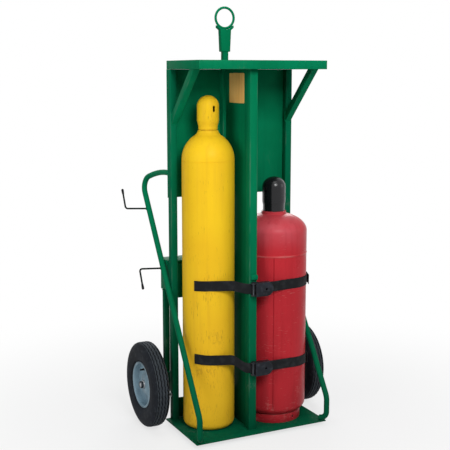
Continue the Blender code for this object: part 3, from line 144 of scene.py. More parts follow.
# Base plate and skid pan: the cart stands on a shallow pressed pan welded under a 6 mm steel plate.
# Both are sprayed with green alkyd enamel: even, satin, darker towards the floor with grime and painted
# shade, rubbed pale at edges.
def enamel(name, base, deep, darkening_colour, bare, rough=0.36, streaks=0.2, chips=0.3, stroke_mm=(1.6, 34.0),
           strokes=0.2, stroke_from=1.01, foot_darkening=0.0, darkening_top=0.5, chalk_and_highlight=None, specular=0.01):
    """Sprayed enamel: drift of tone, darkening low down, grime in runs, an optional pink head of chalk and
    painted highlight, chips, scratches and rubbed edges.
    """
    drift_mm, run_mm, run_long_mm = 260.0, 24.0, 416.67
    chip_mm, patch_mm, gloss_mm = 11.0, 120.0, 70.0
    # the real orange peel is about 2 mm across; it is drawn at 5 mm so that it shows
    peel_mm = 5.0
    chips_low_down, strokes_low_down, worn_dull, worn_deep = 0.16, 0.5, 0.35, 1.5
    mat = bpy.data.materials.new(name)
    tree = bare_tree(mat)
    where = add_node(tree, "ShaderNodeTexCoord").outputs["Object"]
    height = add_node(tree, "ShaderNodeSeparateXYZ", {0: where}).outputs["Z"]
    low = add_node(tree, "ShaderNodeMapRange", {"Value": height, "From Min": darkening_top, "From Max": 0.0})
    drift = add_node(tree, "ShaderNodeTexNoise", {"Vector": where, "Scale": 1000 / drift_mm, "Detail": 3.0})
    drift = add_node(tree, "ShaderNodeMapRange",
                     {"Value": drift.outputs["Fac"], "From Min": 0.35, "From Max": 0.68})
    tone = add_node(tree, "ShaderNodeMix", {0: drift.outputs[0], 6: colour(base), 7: colour(deep)},
                    data_type="RGBA")
    # pink towards the head: sun chalking and a painted highlight together
    if chalk_and_highlight:
        pale, pink_low, pink_high, share = chalk_and_highlight
        chalk_and_highlight_rise = add_node(tree, "ShaderNodeMapRange",
                          {"Value": height, "From Min": pink_low, "From Max": pink_high, "To Max": share},
                          interpolation_type="SMOOTHSTEP")
        uneven = add_node(tree, "ShaderNodeMath", {0: chalk_and_highlight_rise.outputs[0], 1: drift.outputs[0]},
                          operation="MULTIPLY")
        tone = add_node(tree, "ShaderNodeMix", {0: uneven.outputs[0], 6: tone.outputs[2], 7: colour(pale)},
                        data_type="RGBA")
    # darker towards the floor; on the green frame this is grime and painted shade together
    darkening = add_node(tree, "ShaderNodeMath", {0: low.outputs[0], 1: foot_darkening}, operation="MULTIPLY")
    stretched = add_node(tree, "ShaderNodeMapping",
                         {"Vector": where, "Scale": (1000 / run_mm, 1000 / run_mm, 1000 / run_long_mm)})
    runs = add_node(tree, "ShaderNodeTexNoise", {"Vector": stretched.outputs[0], "Scale": 1.0, "Detail": 4.0})
    runs = add_node(tree, "ShaderNodeMapRange",
                    {"Value": runs.outputs["Fac"], "From Min": 0.50, "From Max": 0.78, "To Max": streaks})
    darkening = add_node(tree, "ShaderNodeMath", {0: darkening.outputs[0], 1: runs.outputs[0]},
                    operation="ADD", use_clamp=True)
    darkened = add_node(tree, "ShaderNodeMix", {0: darkening.outputs[0], 6: tone.outputs[2], 7: colour(darkening_colour)},
                      data_type="RGBA")
    patches = add_node(tree, "ShaderNodeTexNoise", {"Vector": where, "Scale": 1000 / patch_mm, "Detail": 2.0})
    likely = add_node(tree, "ShaderNodeMath",
                      {0: low.outputs[0], 1: chips_low_down, 2: patches.outputs["Fac"]},
                      operation="MULTIPLY_ADD")
    flakes = add_node(tree, "ShaderNodeTexNoise",
                      {"Vector": where, "Scale": 1000 / chip_mm, "Detail": 5.0, "Roughness": 0.6})
    chance = add_node(tree, "ShaderNodeMath", {0: likely.outputs[0], 1: flakes.outputs["Fac"]},
                      operation="ADD")
    chipped = add_node(tree, "ShaderNodeMapRange",
                       {"Value": chance.outputs[0], "From Min": 1.36, "From Max": 1.41, "To Max": chips})
    across_mm, along_mm = stroke_mm
    combed = add_node(tree, "ShaderNodeMapping",
                      {"Vector": where, "Scale": (1000 / across_mm, 1000 / across_mm, 1000 / along_mm)})
    lines = add_node(tree, "ShaderNodeTexNoise",
                     {"Vector": combed.outputs[0], "Scale": 1.0, "Detail": 1.0, "Distortion": 0.15})
    chance = add_node(tree, "ShaderNodeMath",
                      {0: likely.outputs[0], 1: strokes_low_down, 2: lines.outputs["Fac"]},
                      operation="MULTIPLY_ADD")
    scored = add_node(tree, "ShaderNodeMapRange",
                      {"Value": chance.outputs[0], "From Min": stroke_from, "From Max": stroke_from + 0.05,
                       "To Max": strokes})
    edge = add_node(tree, "ShaderNodeAttribute", attribute_name="edge").outputs["Fac"]
    rub = add_node(tree, "ShaderNodeMapRange",
                   {"Value": patches.outputs["Fac"], "From Min": 0.48, "From Max": 0.66, "To Max": 0.30})
    edge_marked = add_node(tree, "ShaderNodeMath", {0: edge, 1: rub.outputs[0]}, operation="MULTIPLY")
    bare_share = chipped
    for mark in (edge_marked, scored):
        bare_share = add_node(tree, "ShaderNodeMath", {0: bare_share.outputs[0], 1: mark.outputs[0]}, operation="MAXIMUM")
    final = add_node(tree, "ShaderNodeMix", {0: bare_share.outputs[0], 6: darkened.outputs[2], 7: colour(bare)},
                     data_type="RGBA")
    gloss = add_node(tree, "ShaderNodeTexNoise", {"Vector": where, "Scale": 1000 / gloss_mm, "Detail": 4.0})
    gloss = add_node(tree, "ShaderNodeMapRange",
                     {"Value": gloss.outputs["Fac"], "From Min": 0.3, "From Max": 0.7,
                      "To Min": rough - 0.06, "To Max": rough + 0.08})
    dull = add_node(tree, "ShaderNodeMath", {0: bare_share.outputs[0], 1: worn_dull, 2: gloss.outputs[0]},
                    operation="MULTIPLY_ADD")
    peel = add_node(tree, "ShaderNodeTexNoise", {"Vector": where, "Scale": 1000 / peel_mm, "Detail": 2.0})
    level = add_node(tree, "ShaderNodeMath", {0: bare_share.outputs[0], 1: -worn_deep, 2: peel.outputs["Fac"]},
                     operation="MULTIPLY_ADD")
    bump = add_node(tree, "ShaderNodeBump",
                    {"Strength": 0.12, "Distance": 0.0006, "Height": level.outputs[0]})
    shader = add_node(tree, "ShaderNodeBsdfPrincipled",
                      {"Base Color": final.outputs[2], "Roughness": dull.outputs[0],
                       "Normal": bump.outputs[0], "Specular IOR Level": specular})
    add_node(tree, "ShaderNodeOutputMaterial", {"Surface": shader.outputs[0]})
    return mat


def mesh_from(name, bm):
    """The plain mesh of a finished builder."""
    mesh = bpy.data.meshes.new(name)
    bm.to_mesh(mesh)
    bm.free()
    return mesh


def finish_piece(name, bm, material, body, replaced=(), crease=35.0):
    """A mesh becomes a named piece of its body, smooth but for its creases."""
    mesh = mesh_from(name, bm)
    for polygon in mesh.polygons:
        polygon.use_smooth = True
    mesh.set_sharp_from_angle(angle=math.radians(crease))
    mesh.materials.append(material)
    piece = bpy.data.objects.new(name, mesh)
    scene.collection.objects.link(piece)
    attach(piece, body)
    if replaced:
        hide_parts(*replaced)
    return piece


def softened(node, name, material, body="cart", broken_edge=0.0005, long_radius=0.0, long_over=0.15):
    """The node's own shape, its sharp edges broken and its long outer corners rolled to a larger radius."""
    weld_gap, flat, sharp = 0.00002, math.radians(0.6), math.radians(40.0)
    bm = bmesh.new()
    bm.from_mesh(nodes[node].data)
    bmesh.ops.remove_doubles(bm, verts=bm.verts, dist=weld_gap)
    bmesh.ops.dissolve_limit(bm, angle_limit=flat, verts=bm.verts, edges=bm.edges)
    edge_mark = bm.faces.layers.float.new("edge")
    for radius, segments, least in ((long_radius, 3, long_over), (broken_edge, 2, 0.0)):
        if radius <= 0.0:
            continue
        chosen = []
        for edge in bm.edges:
            if len(edge.link_faces) != 2 or edge.calc_length() < least:
                continue
            turn = edge.calc_face_angle_signed(0.0)
            if turn > sharp or (least == 0.0 and turn < -sharp):
                chosen.append(edge)
        rolled = bmesh.ops.bevel(bm, geom=chosen, offset=radius, segments=segments, profile=0.5,
                                 affect="EDGES", clamp_overlap=True)
        for face in rolled["faces"]:
            face[edge_mark] = 1.0
    return finish_piece(name, bm, material, body, (node,))


# alkyd enamel, sprayed: a flat mid green, darker towards the floor with grime and painted shade, with few
# pale rubs
green_enamel = enamel("green_alkyd_enamel_sprayed", base="#05754e", deep="#056a45", darkening_colour="#04402b",
                      bare="#5a6a60", foot_darkening=0.80, darkening_top=1.2)
softened("skid_pan", "skid_pan_pressing", green_enamel, broken_edge=0.0008)
softened("base_plate", "base_plate_sheet", green_enamel, broken_edge=0.0012)

# Uprights, firewall posts, axle legs and roof braces: square steel tube with rolled corners, saw-cut to
# length and welded in place, in green enamel, with a darker copy on the uprights and legs as painted shade.

# alkyd enamel, sprayed: the same green made deeper on the uprights and legs, as painted shade where they
# stand back under the roof
shaded_green_enamel = enamel("green_alkyd_enamel_painted_shade", base="#056646", deep="#055c3d", darkening_colour="#043b28",
                     bare="#5a6a60", foot_darkening=0.80, darkening_top=1.2)
for node, corner, paint in (
    ("left_upright", 0.0035, shaded_green_enamel),
    ("right_upright", 0.0035, shaded_green_enamel),
    ("firewall_front_post", 0.0042, green_enamel),
    ("firewall_rear_post", 0.0035, green_enamel),
    ("left_axle_leg", 0.0030, shaded_green_enamel),
    ("right_axle_leg", 0.0030, shaded_green_enamel),
    ("left_roof_brace", 0.0035, green_enamel),
    ("right_roof_brace", 0.0035, green_enamel),
):
    softened(node, node + "_tube", paint, long_radius=corner, broken_edge=0.0004)

# Back panels and firewall: 3 mm sheet steel, guillotined to size. The panels close the back between the
# uprights, and the firewall stands between the two posts; all are stitch welded along their edges.
for node in ("upper_back_panel", "mid_back_panel", "lower_back_panel", "firewall_sheet"):
    softened(node, node + "_plate", green_enamel, broken_edge=0.0007)

# Roof tray: a pan folded from 3 mm sheet steel, open below, its corners welded and dressed. It lies on
# the uprights and the firewall, and the two braces prop its front.
softened("roof_tray", "roof_tray_folding", green_enamel, broken_edge=0.0012)

# Notice plate: a plain ochre sheet on the firewall's left face under the roof, cut with round corners
# and held by four dome rivets.
PLATE_FRONT, PLATE_REAR, PLATE_LOW, PLATE_HIGH = -0.073, 0.072, 1.489, 1.620
PLATE_BACK, PLATE_THICK, PLATE_ROUND, PLATE_BROKEN = -0.03548, 0.0012, 0.006, 0.0005


def rounded_outline(low, high, radius, steps):
    """Corners of a rectangle in two coordinates, rounded."""
    left, right = low[0] + radius, high[0] - radius
    bottom, top = low[1] + radius, high[1] - radius
    points = []
    centres = ((right, top, 0.0), (left, top, 90.0), (left, bottom, 180.0), (right, bottom, 270.0))
    for cx, cy, start in centres:
        for k in range(steps + 1):
            angle = math.radians(start + 90.0 * k / steps)
            points.append((cx + radius * math.cos(angle), cy + radius * math.sin(angle)))
    return points


def skin(bm, loops, ends="cap"):
    """Faces between successive vertex loops, with the ends capped, joined or left open."""
    count = len(loops)
    for i in range(count if ends == "join" else count - 1):
        a, b = loops[i], loops[(i + 1) % count]
        size = max(len(a), len(b))
        for k in range(size):
            ring = [a[k % len(a)], a[(k + 1) % len(a)], b[(k + 1) % len(b)], b[k % len(b)]]
            bm.faces.new(list(dict.fromkeys(ring)))
    if ends == "cap":
        bm.faces.new(loops[0])
        bm.faces.new(loops[-1])
    bmesh.ops.recalc_face_normals(bm, faces=bm.faces)


# varnished steel, brushed on by hand: warm ochre with darker runs and dull, rubbed spots
ochre_varnish = enamel("ochre_varnish_brushed", base="#fac878", deep="#efb868", darkening_colour="#a87c40",
                       bare="#c8ac78", rough=0.42, streaks=0.45, darkening_top=3.0)
bm = bmesh.new()
loops = []
for share, inset in ((0.0, 0.0), (0.7, 0.0), (1.0, PLATE_BROKEN)):
    outline = rounded_outline((PLATE_FRONT + inset, PLATE_LOW + inset),
                              (PLATE_REAR - inset, PLATE_HIGH - inset), PLATE_ROUND - inset, steps=5)
    loops.append([bm.verts.new((PLATE_BACK - PLATE_THICK * share, y, z)) for y, z in outline])
skin(bm, loops)
finish_piece("notice_plate", bm, ochre_varnish, "cart")


def studded_tree(name, along):
    """Geometry nodes that set one small round stud on each point, or a row of them along each wire."""
    tree = bpy.data.node_groups.new(name, "GeometryNodeTree")
    face = tree.interface
    face.new_socket("Wire", in_out="INPUT", socket_type="NodeSocketGeometry")
    face.new_socket("Stud size", in_out="INPUT", socket_type="NodeSocketVector")
    face.new_socket("Spacing", in_out="INPUT", socket_type="NodeSocketFloat")
    face.new_socket("Finish", in_out="INPUT", socket_type="NodeSocketMaterial")
    face.new_socket("Studs", in_out="OUTPUT", socket_type="NodeSocketGeometry")
    given = tree.nodes.new("NodeGroupInput")
    stud = add_node(tree, "GeometryNodeMeshUVSphere", {"Segments": 8, "Rings": 5, "Radius": 1.0})
    places = {"Points": given.outputs["Wire"], "Instance": stud.outputs[0],
              "Scale": given.outputs["Stud size"]}
    if along:
        path = add_node(tree, "GeometryNodeMeshToCurve", {"Mesh": given.outputs["Wire"]})
        row = add_node(tree, "GeometryNodeCurveToPoints",
                       {"Curve": path.outputs[0], "Length": given.outputs["Spacing"]}, mode="LENGTH")
        places["Points"] = row.outputs["Points"]
        places["Rotation"] = row.outputs["Rotation"]
    studs = add_node(tree, "GeometryNodeInstanceOnPoints", places)
    real = add_node(tree, "GeometryNodeRealizeInstances", {0: studs.outputs[0]})
    done = add_node(tree, "GeometryNodeSetMaterial",
                    {"Geometry": real.outputs[0], "Material": given.outputs["Finish"]})
    add_node(tree, "NodeGroupOutput", {0: done.outputs[0]})
    return tree


def grown(name, tree, wire_points, wire_edges, values):
    """The plain mesh that a node tree makes from a wire."""
    join_gap = 0.00001
    wire = bpy.data.meshes.new(name)
    wire.from_pydata([tuple(p) for p in wire_points], wire_edges, [])
    holder = bpy.data.objects.new(name, wire)
    scene.collection.objects.link(holder)
    modifier = holder.modifiers.new("grow", "NODES")
    modifier.node_group = tree
    for item in tree.interface.items_tree:
        if item.in_out == "INPUT" and item.name in values:
            modifier[item.identifier] = values[item.name]
    evaluated = holder.evaluated_get(bpy.context.evaluated_depsgraph_get())
    mesh = bpy.data.meshes.new_from_object(evaluated)
    bpy.data.objects.remove(holder, do_unlink=True)
    bm = bmesh.new()
    bm.from_mesh(mesh)
    bpy.data.meshes.remove(mesh)
    bmesh.ops.remove_doubles(bm, verts=bm.verts, dist=join_gap)
    bmesh.ops.recalc_face_normals(bm, faces=bm.faces)
    return bm


RIVET_INSET, RIVET_SIZE = 0.009, (0.0015, 0.0032, 0.0032)
rivet_points = []
for y in (PLATE_FRONT + RIVET_INSET, PLATE_REAR - RIVET_INSET):
    for z in (PLATE_LOW + RIVET_INSET, PLATE_HIGH - RIVET_INSET):
        rivet_points.append((PLATE_BACK - PLATE_THICK, y, z))
bm = grown("rivets", studded_tree("rivets", along=False), rivet_points, [],
           {"Stud size": RIVET_SIZE, "Finish": ochre_varnish})
finish_piece("notice_plate_rivets", bm, ochre_varnish, "cart")


# Lifting eye: a stem with a saddle cut from plate, standing through the roof, and a round bar ring
# bent shut and welded in the saddle. Sprayed with the rest of the frame.
def bar_tree():
    """Geometry nodes that sweep a round bar along a wire."""
    tree = bpy.data.node_groups.new("bent_round_bar", "GeometryNodeTree")
    face = tree.interface
    face.new_socket("Wire", in_out="INPUT", socket_type="NodeSocketGeometry")
    face.new_socket("Bar radius", in_out="INPUT", socket_type="NodeSocketFloat")
    face.new_socket("Sides", in_out="INPUT", socket_type="NodeSocketInt")
    face.new_socket("Finish", in_out="INPUT", socket_type="NodeSocketMaterial")
    face.new_socket("Bar", in_out="OUTPUT", socket_type="NodeSocketGeometry")
    given = tree.nodes.new("NodeGroupInput")
    path = add_node(tree, "GeometryNodeMeshToCurve", {"Mesh": given.outputs["Wire"]})
    ring = add_node(tree, "GeometryNodeCurvePrimitiveCircle",
                    {"Radius": given.outputs["Bar radius"], "Resolution": given.outputs["Sides"]})
    swept = add_node(tree, "GeometryNodeCurveToMesh",
                     {"Curve": path.outputs[0], "Profile Curve": ring.outputs[0], "Fill Caps": True})
    real = add_node(tree, "GeometryNodeRealizeInstances", {0: swept.outputs[0]})
    done = add_node(tree, "GeometryNodeSetMaterial",
                    {"Geometry": real.outputs[0], "Material": given.outputs["Finish"]})
    add_node(tree, "NodeGroupOutput", {0: done.outputs[0]})
    return tree


def chain(count, closed=False):
    """Edges that join points in a row."""
    edges = [(i, i + 1) for i in range(count - 1)]
    return edges + [(count - 1, 0)] if closed else edges


round_bar = bar_tree()
EYE_X, EYE_Y, EYE_Z = -0.033976, 0.123375, 1.86305
EYE_RADIUS, EYE_BAR, EYE_STEPS = 0.0450, 0.0055, 72
softened("lifting_post", "lifting_saddle_plate", green_enamel, broken_edge=0.0015)
ring_points = []
for k in range(EYE_STEPS):
    angle = 2 * math.pi * k / EYE_STEPS
    ring_points.append((EYE_X + EYE_RADIUS * math.cos(angle), EYE_Y, EYE_Z + EYE_RADIUS * math.sin(angle)))
bm = grown("eye", round_bar, ring_points, chain(EYE_STEPS, closed=True),
           {"Bar radius": EYE_BAR, "Sides": 24, "Finish": green_enamel})
finish_piece("lifting_eye_ring", bm, green_enamel, "cart", ("lifting_ring",))


# Handle tubes: inch steel tube, cold bent from the back panel out behind the cart, down past the
# uprights and curled in at the toe onto the base plate.
def fillet_path(corners, bends, steps):
    """A polyline whose inner corners are rounded to the given bend radii."""
    points = [Vector(corners[0])]
    for index, bend in enumerate(bends):
        before, corner, after = (Vector(corners[index + j]) for j in range(3))
        into = (before - corner).normalized()
        out = (after - corner).normalized()
        half = into.angle(out) / 2
        centre = corner + (into + out).normalized() * (bend / math.sin(half))
        first = corner + into * (bend / math.tan(half)) - centre
        last = corner + out * (bend / math.tan(half)) - centre
        sweep = first.angle(last)
        for k in range(steps + 1):
            t = k / steps
            arm = (first * math.sin((1 - t) * sweep) + last * math.sin(t * sweep)) / math.sin(sweep)
            points.append(centre + arm)
    points.append(Vector(corners[-1]))
    return points


HANDLE_BAR = 0.0127
HANDLE_CORNERS = ((0.297, 0.14285, 1.1754), (0.297, 0.26665, 1.1754), (0.3230, 0.4253, 1.1181),
                  (0.3230, -0.2176, 0.142), (0.3230, -0.2176, 0.038), (0.3050, -0.18642, 0.038))
HANDLE_BENDS = (0.533, 0.0528, 0.060, 0.034)
for side, sign in (("left", -1), ("right", 1)):
    path = fillet_path([(sign * x, y, z) for x, y, z in HANDLE_CORNERS], HANDLE_BENDS, steps=14)
    bm = grown("handle", round_bar, path, chain(len(path)),
               {"Bar radius": HANDLE_BAR, "Sides": 28, "Finish": green_enamel})
    finish_piece(side + "_handle_bent_tube", bm, green_enamel, "cart",
                 (side + "_handle_tube",))


# Hose hooks: 8 mm steel rods, bent once and welded to the left handle tube, brushed with dark enamel.
# Each free end has a dipped black vinyl tip, so that the hoses don't chafe.
def moulded(name, base, pale, rough, grain_mm, dust, dust_share, specular=0.05):
    """Moulded rubber or plastic: even dark body, fine grain, patchy dust, grooves darkened as painted shade
    and ribs lightened with dust and a painted highlight.
    """
    cloud_mm, film_mm, groove = 60.0, 18.0, "#040405"
    mat = bpy.data.materials.new(name)
    tree = bare_tree(mat)
    where = add_node(tree, "ShaderNodeTexCoord").outputs["Object"]
    cloud = add_node(tree, "ShaderNodeTexNoise", {"Vector": where, "Scale": 1000 / cloud_mm, "Detail": 4.0})
    cloud = add_node(tree, "ShaderNodeMapRange",
                     {"Value": cloud.outputs["Fac"], "From Min": 0.35, "From Max": 0.7})
    tone = add_node(tree, "ShaderNodeMix", {0: cloud.outputs[0], 6: colour(base), 7: colour(pale)},
                    data_type="RGBA")
    film = add_node(tree, "ShaderNodeTexNoise", {"Vector": where, "Scale": 1000 / film_mm, "Detail": 5.0})
    film = add_node(tree, "ShaderNodeMapRange",
                    {"Value": film.outputs["Fac"], "From Min": 0.52, "From Max": 0.75, "To Max": dust_share})
    dusty = add_node(tree, "ShaderNodeMix", {0: film.outputs[0], 6: tone.outputs[2], 7: colour(dust)},
                     data_type="RGBA")
    relief = add_node(tree, "ShaderNodeAttribute", attribute_name="tread").outputs["Fac"]
    # ribs of the tread lean towards the dust colour: dust and a painted highlight together
    rib_dust_and_highlight = add_node(tree, "ShaderNodeMapRange", {"Value": relief, "To Max": 0.18})
    ribs_lightened = add_node(tree, "ShaderNodeMix", {0: rib_dust_and_highlight.outputs[0], 6: dusty.outputs[2], 7: colour(dust)},
                       data_type="RGBA")
    # grooves of the tread go nearly black: painted shade
    groove_shade = add_node(tree, "ShaderNodeMapRange", {"Value": relief, "From Max": -1.0, "To Max": 0.8})
    final = add_node(tree, "ShaderNodeMix", {0: groove_shade.outputs[0], 6: ribs_lightened.outputs[2], 7: colour(groove)},
                     data_type="RGBA")
    gloss = add_node(tree, "ShaderNodeMapRange",
                     {"Value": cloud.outputs[0], "To Min": rough, "To Max": rough + 0.12})
    grain = add_node(tree, "ShaderNodeTexNoise", {"Vector": where, "Scale": 1000 / grain_mm, "Detail": 3.0})
    bump = add_node(tree, "ShaderNodeBump",
                    {"Strength": 0.25, "Distance": 0.0005, "Height": grain.outputs["Fac"]})
    shader = add_node(tree, "ShaderNodeBsdfPrincipled",
                      {"Base Color": final.outputs[2], "Roughness": gloss.outputs[0],
                       "Normal": bump.outputs[0], "Specular IOR Level": specular})
    add_node(tree, "ShaderNodeOutputMaterial", {"Surface": shader.outputs[0]})
    return mat


def turned(bm, profile, segments, place, shut=False):
    """A profile of (radius, height) turned about the local Z of a place."""
    loops = []
    for radius, height in profile:
        count = segments if radius > 0.0 else 1
        loop = []
        for k in range(count):
            angle = 2 * math.pi * k / segments
            point = Vector((radius * math.cos(angle), radius * math.sin(angle), height))
            loop.append(bm.verts.new(place @ point))
        loops.append(loop)
    skin(bm, loops, "join" if shut else "open")


# vinyl, dipped: a soft, even black with a low gloss and a little dust
vinyl = moulded("black_vinyl_dipped", base="#131416", pale="#1d1e20", rough=0.35, grain_mm=4.0,
                dust="#4a4c4c", dust_share=0.10)
HOOK_ROOT, HOOK_ELBOW, HOOK_ROD, HOOK_BEND, HOOK_PRONG = -0.336, -0.4386, 0.004, 0.012, 0.095
PRONG_LEAN, HOOK_RISE = math.radians(65.0), 0.0065
TIP_PROFILE = ((0.0, 0.0), (0.0046, 0.0), (0.0052, 0.006), (0.0060, 0.018), (0.0058, 0.022),
               (0.0044, 0.0248), (0.0022, 0.0260), (0.0, 0.0263))
TIP_FROM_END = 0.0250
# enamel brushed over bare rod: near black with a green cast and grey chips
dark_enamel = enamel("black_enamel_brushed", base="#15201b", deep="#101714", darkening_colour="#0b0f0d",
                     bare="#4a4f4c", rough=0.42)
HOOKS = (("upper", 0.3421, 0.99178, 1), ("lower", 0.1746, 0.73747, -1))
for level, y, z, turn in HOOKS:
    elbow = Vector((HOOK_ELBOW, y, z + HOOK_RISE))
    rise = Vector((0.0, turn * math.cos(PRONG_LEAN), turn * math.sin(PRONG_LEAN)))
    path = fillet_path([(HOOK_ROOT, y, z), elbow, elbow + rise * HOOK_PRONG], (HOOK_BEND,), steps=12)
    bm = grown("hook", round_bar, path, chain(len(path)),
               {"Bar radius": HOOK_ROD, "Sides": 20, "Finish": dark_enamel})
    finish_piece(level + "_hose_hook_rod", bm, dark_enamel, "cart", (level + "_hose_hook",))
    bm = bmesh.new()
    foot = elbow + rise * (HOOK_PRONG - TIP_FROM_END)
    place = Matrix.Translation(foot) @ rise.to_track_quat("Z", "Y").to_matrix().to_4x4()
    turned(bm, TIP_PROFILE, segments=24, place=place)
    finish_piece(level + "_hose_hook_tip", bm, vinyl, "cart")


# Tool box: folded from 3 mm sheet steel and welded behind the uprights. Its lid is folded too, and
# rolled round a plain zinc plated hinge rod along the front edge.
def metal(name, base, dull, stain, rough, scratch_mm):
    """Plated or turned metal: soft clouding, fine scratches and a little staining."""
    cloud_mm, spot_mm = 25.0, 8.0
    mat = bpy.data.materials.new(name)
    tree = bare_tree(mat)
    where = add_node(tree, "ShaderNodeTexCoord").outputs["Object"]
    cloud = add_node(tree, "ShaderNodeTexNoise", {"Vector": where, "Scale": 1000 / cloud_mm, "Detail": 4.0})
    tone = add_node(tree, "ShaderNodeMix", {0: cloud.outputs["Fac"], 6: colour(base), 7: colour(dull)},
                    data_type="RGBA")
    spots = add_node(tree, "ShaderNodeTexNoise", {"Vector": where, "Scale": 1000 / spot_mm, "Detail": 4.0})
    spots = add_node(tree, "ShaderNodeMapRange",
                     {"Value": spots.outputs["Fac"], "From Min": 0.60, "From Max": 0.72, "To Max": 0.5})
    stained = add_node(tree, "ShaderNodeMix", {0: spots.outputs[0], 6: tone.outputs[2], 7: colour(stain)},
                       data_type="RGBA")
    fine = add_node(tree, "ShaderNodeTexNoise", {"Vector": where, "Scale": 1000 / scratch_mm, "Detail": 3.0})
    gloss = add_node(tree, "ShaderNodeMapRange",
                     {"Value": fine.outputs["Fac"], "From Min": 0.3, "From Max": 0.7,
                      "To Min": rough - 0.08, "To Max": rough + 0.12})
    bump = add_node(tree, "ShaderNodeBump",
                    {"Strength": 0.15, "Distance": 0.0004, "Height": fine.outputs["Fac"]})
    shader = add_node(tree, "ShaderNodeBsdfPrincipled",
                      {"Base Color": stained.outputs[2], "Roughness": gloss.outputs[0],
                       "Normal": bump.outputs[0], "Metallic": 1.0})
    add_node(tree, "ShaderNodeOutputMaterial", {"Surface": shader.outputs[0]})
    return mat


# zinc plated steel, dull: a cold grey with cloudy bloom, fine scratches and darker stains
zinc = metal("zinc_plated_steel_dull", base="#a9adb0", dull="#7f8487", stain="#5d5a52", rough=0.38,
             scratch_mm=3.0)
softened("tool_box", "tool_box_folding", green_enamel, broken_edge=0.0010)
softened("tool_box_lid", "tool_box_lid_folding", green_enamel, body="lid", broken_edge=0.0008)
softened("lid_hinge_rod", "lid_hinge_pin", zinc, broken_edge=0.0005)

# Stub axles: a turned steel stub welded through a bracket plate between each leg and upright, threaded
# for a plain nut that keeps the wheel on.

# steel, black oxided: a dark blue grey with a soft, oily shine
dark_steel = metal("black_oxide_steel", base="#4a4d52", dull="#33363a", stain="#2a2826", rough=0.42,
                   scratch_mm=3.0)
BRACKET_X, BRACKET_Y, BRACKET_Z = (0.292, 0.302), (0.13955, 0.1947), (0.150, 0.240)
BRACKET_ROUND, BRACKET_BROKEN = 0.0025, 0.0010
STUB_PROFILE = ((0.0, 0.2860), (0.0100, 0.2860), (0.0110, 0.2870), (0.0110, 0.3620), (0.0103, 0.3627),
                (0.0095, 0.3627), (0.0095, 0.4416), (0.0085, 0.4426), (0.0, 0.4426))
WHEEL_X, AXLE_Y, AXLE_Z = 0.4056, 0.178, 0.196
for side, sign in (("left", -1), ("right", 1)):
    bm = bmesh.new()
    loops = []
    for share, inset in ((0.0, BRACKET_BROKEN), (0.1, 0.0), (0.9, 0.0), (1.0, BRACKET_BROKEN)):
        x = sign * (BRACKET_X[0] + (BRACKET_X[1] - BRACKET_X[0]) * share)
        outline = rounded_outline((BRACKET_Y[0] + inset, BRACKET_Z[0] + inset),
                                  (BRACKET_Y[1] - inset, BRACKET_Z[1] - inset), BRACKET_ROUND - inset,
                                  steps=4)
        loops.append([bm.verts.new((x, y, z)) for y, z in outline])
    skin(bm, loops)
    finish_piece(side + "_axle_bracket_plate", bm, green_enamel, "cart",
                 (side + "_axle_bracket",))
    place = Matrix.Translation((0.0, AXLE_Y, AXLE_Z)) @ Matrix.Rotation(sign * math.pi / 2, 4, "Y")
    bm = bmesh.new()
    turned(bm, STUB_PROFILE, segments=40, place=place)
    finish_piece(side + "_stub_axle", bm, zinc, "cart")
    softened(side + "_axle_nut", side + "_axle_hex_nut", dark_steel, broken_edge=0.0008)

# Upright bolts: one zinc plated hex bolt with a plain washer through the outer face of each upright,
# a hand's width above the base plate.
BOLT_X, BOLT_Y, BOLT_Z = 0.3100, 0.124, 0.147
WASHER_PROFILE = ((0.0, 0.0), (0.0092, 0.0), (0.0095, 0.0004), (0.0095, 0.0014), (0.0090, 0.0018),
                  (0.0, 0.0018))
HEAD_PROFILE = ((0.0, 0.0018), (0.0072, 0.0018), (0.0075, 0.0024), (0.0075, 0.0058), (0.0062, 0.0068),
                (0.0, 0.0068))
for side, sign in (("left", -1), ("right", 1)):
    place = Matrix.Translation((sign * BOLT_X, BOLT_Y, BOLT_Z)) @ Matrix.Rotation(sign * math.pi / 2, 4, "Y")
    bm = bmesh.new()
    turned(bm, WASHER_PROFILE, segments=28, place=place)
    turned(bm, HEAD_PROFILE, segments=6, place=place)
    finish_piece(side + "_upright_bolt", bm, zinc, "cart")

# Strap lug: a small round-nosed steel block, welded on the firewall's front post just above the upper
# ratchet and sprayed with the frame.
LUG_X, LUG_Z, LUG_FACE, LUG_ROUND = (-0.0470, -0.0155), (0.7195, 0.7445), -0.1600, 0.0070
LUG_NOSE = ((0.0, 0.0), (0.0085, 0.0), (0.0115, 0.0012), (0.0132, 0.0035), (0.0138, 0.0060))
bm = bmesh.new()
loops = []
for proud, inset in LUG_NOSE:
    outline = rounded_outline((LUG_X[0] + inset, LUG_Z[0] + inset), (LUG_X[1] - inset, LUG_Z[1] - inset),
                              LUG_ROUND - inset, steps=5)
    loops.append([bm.verts.new((x, LUG_FACE - proud, z)) for x, z in outline])
skin(bm, loops)
finish_piece("front_post_lug", bm, green_enamel, "cart")

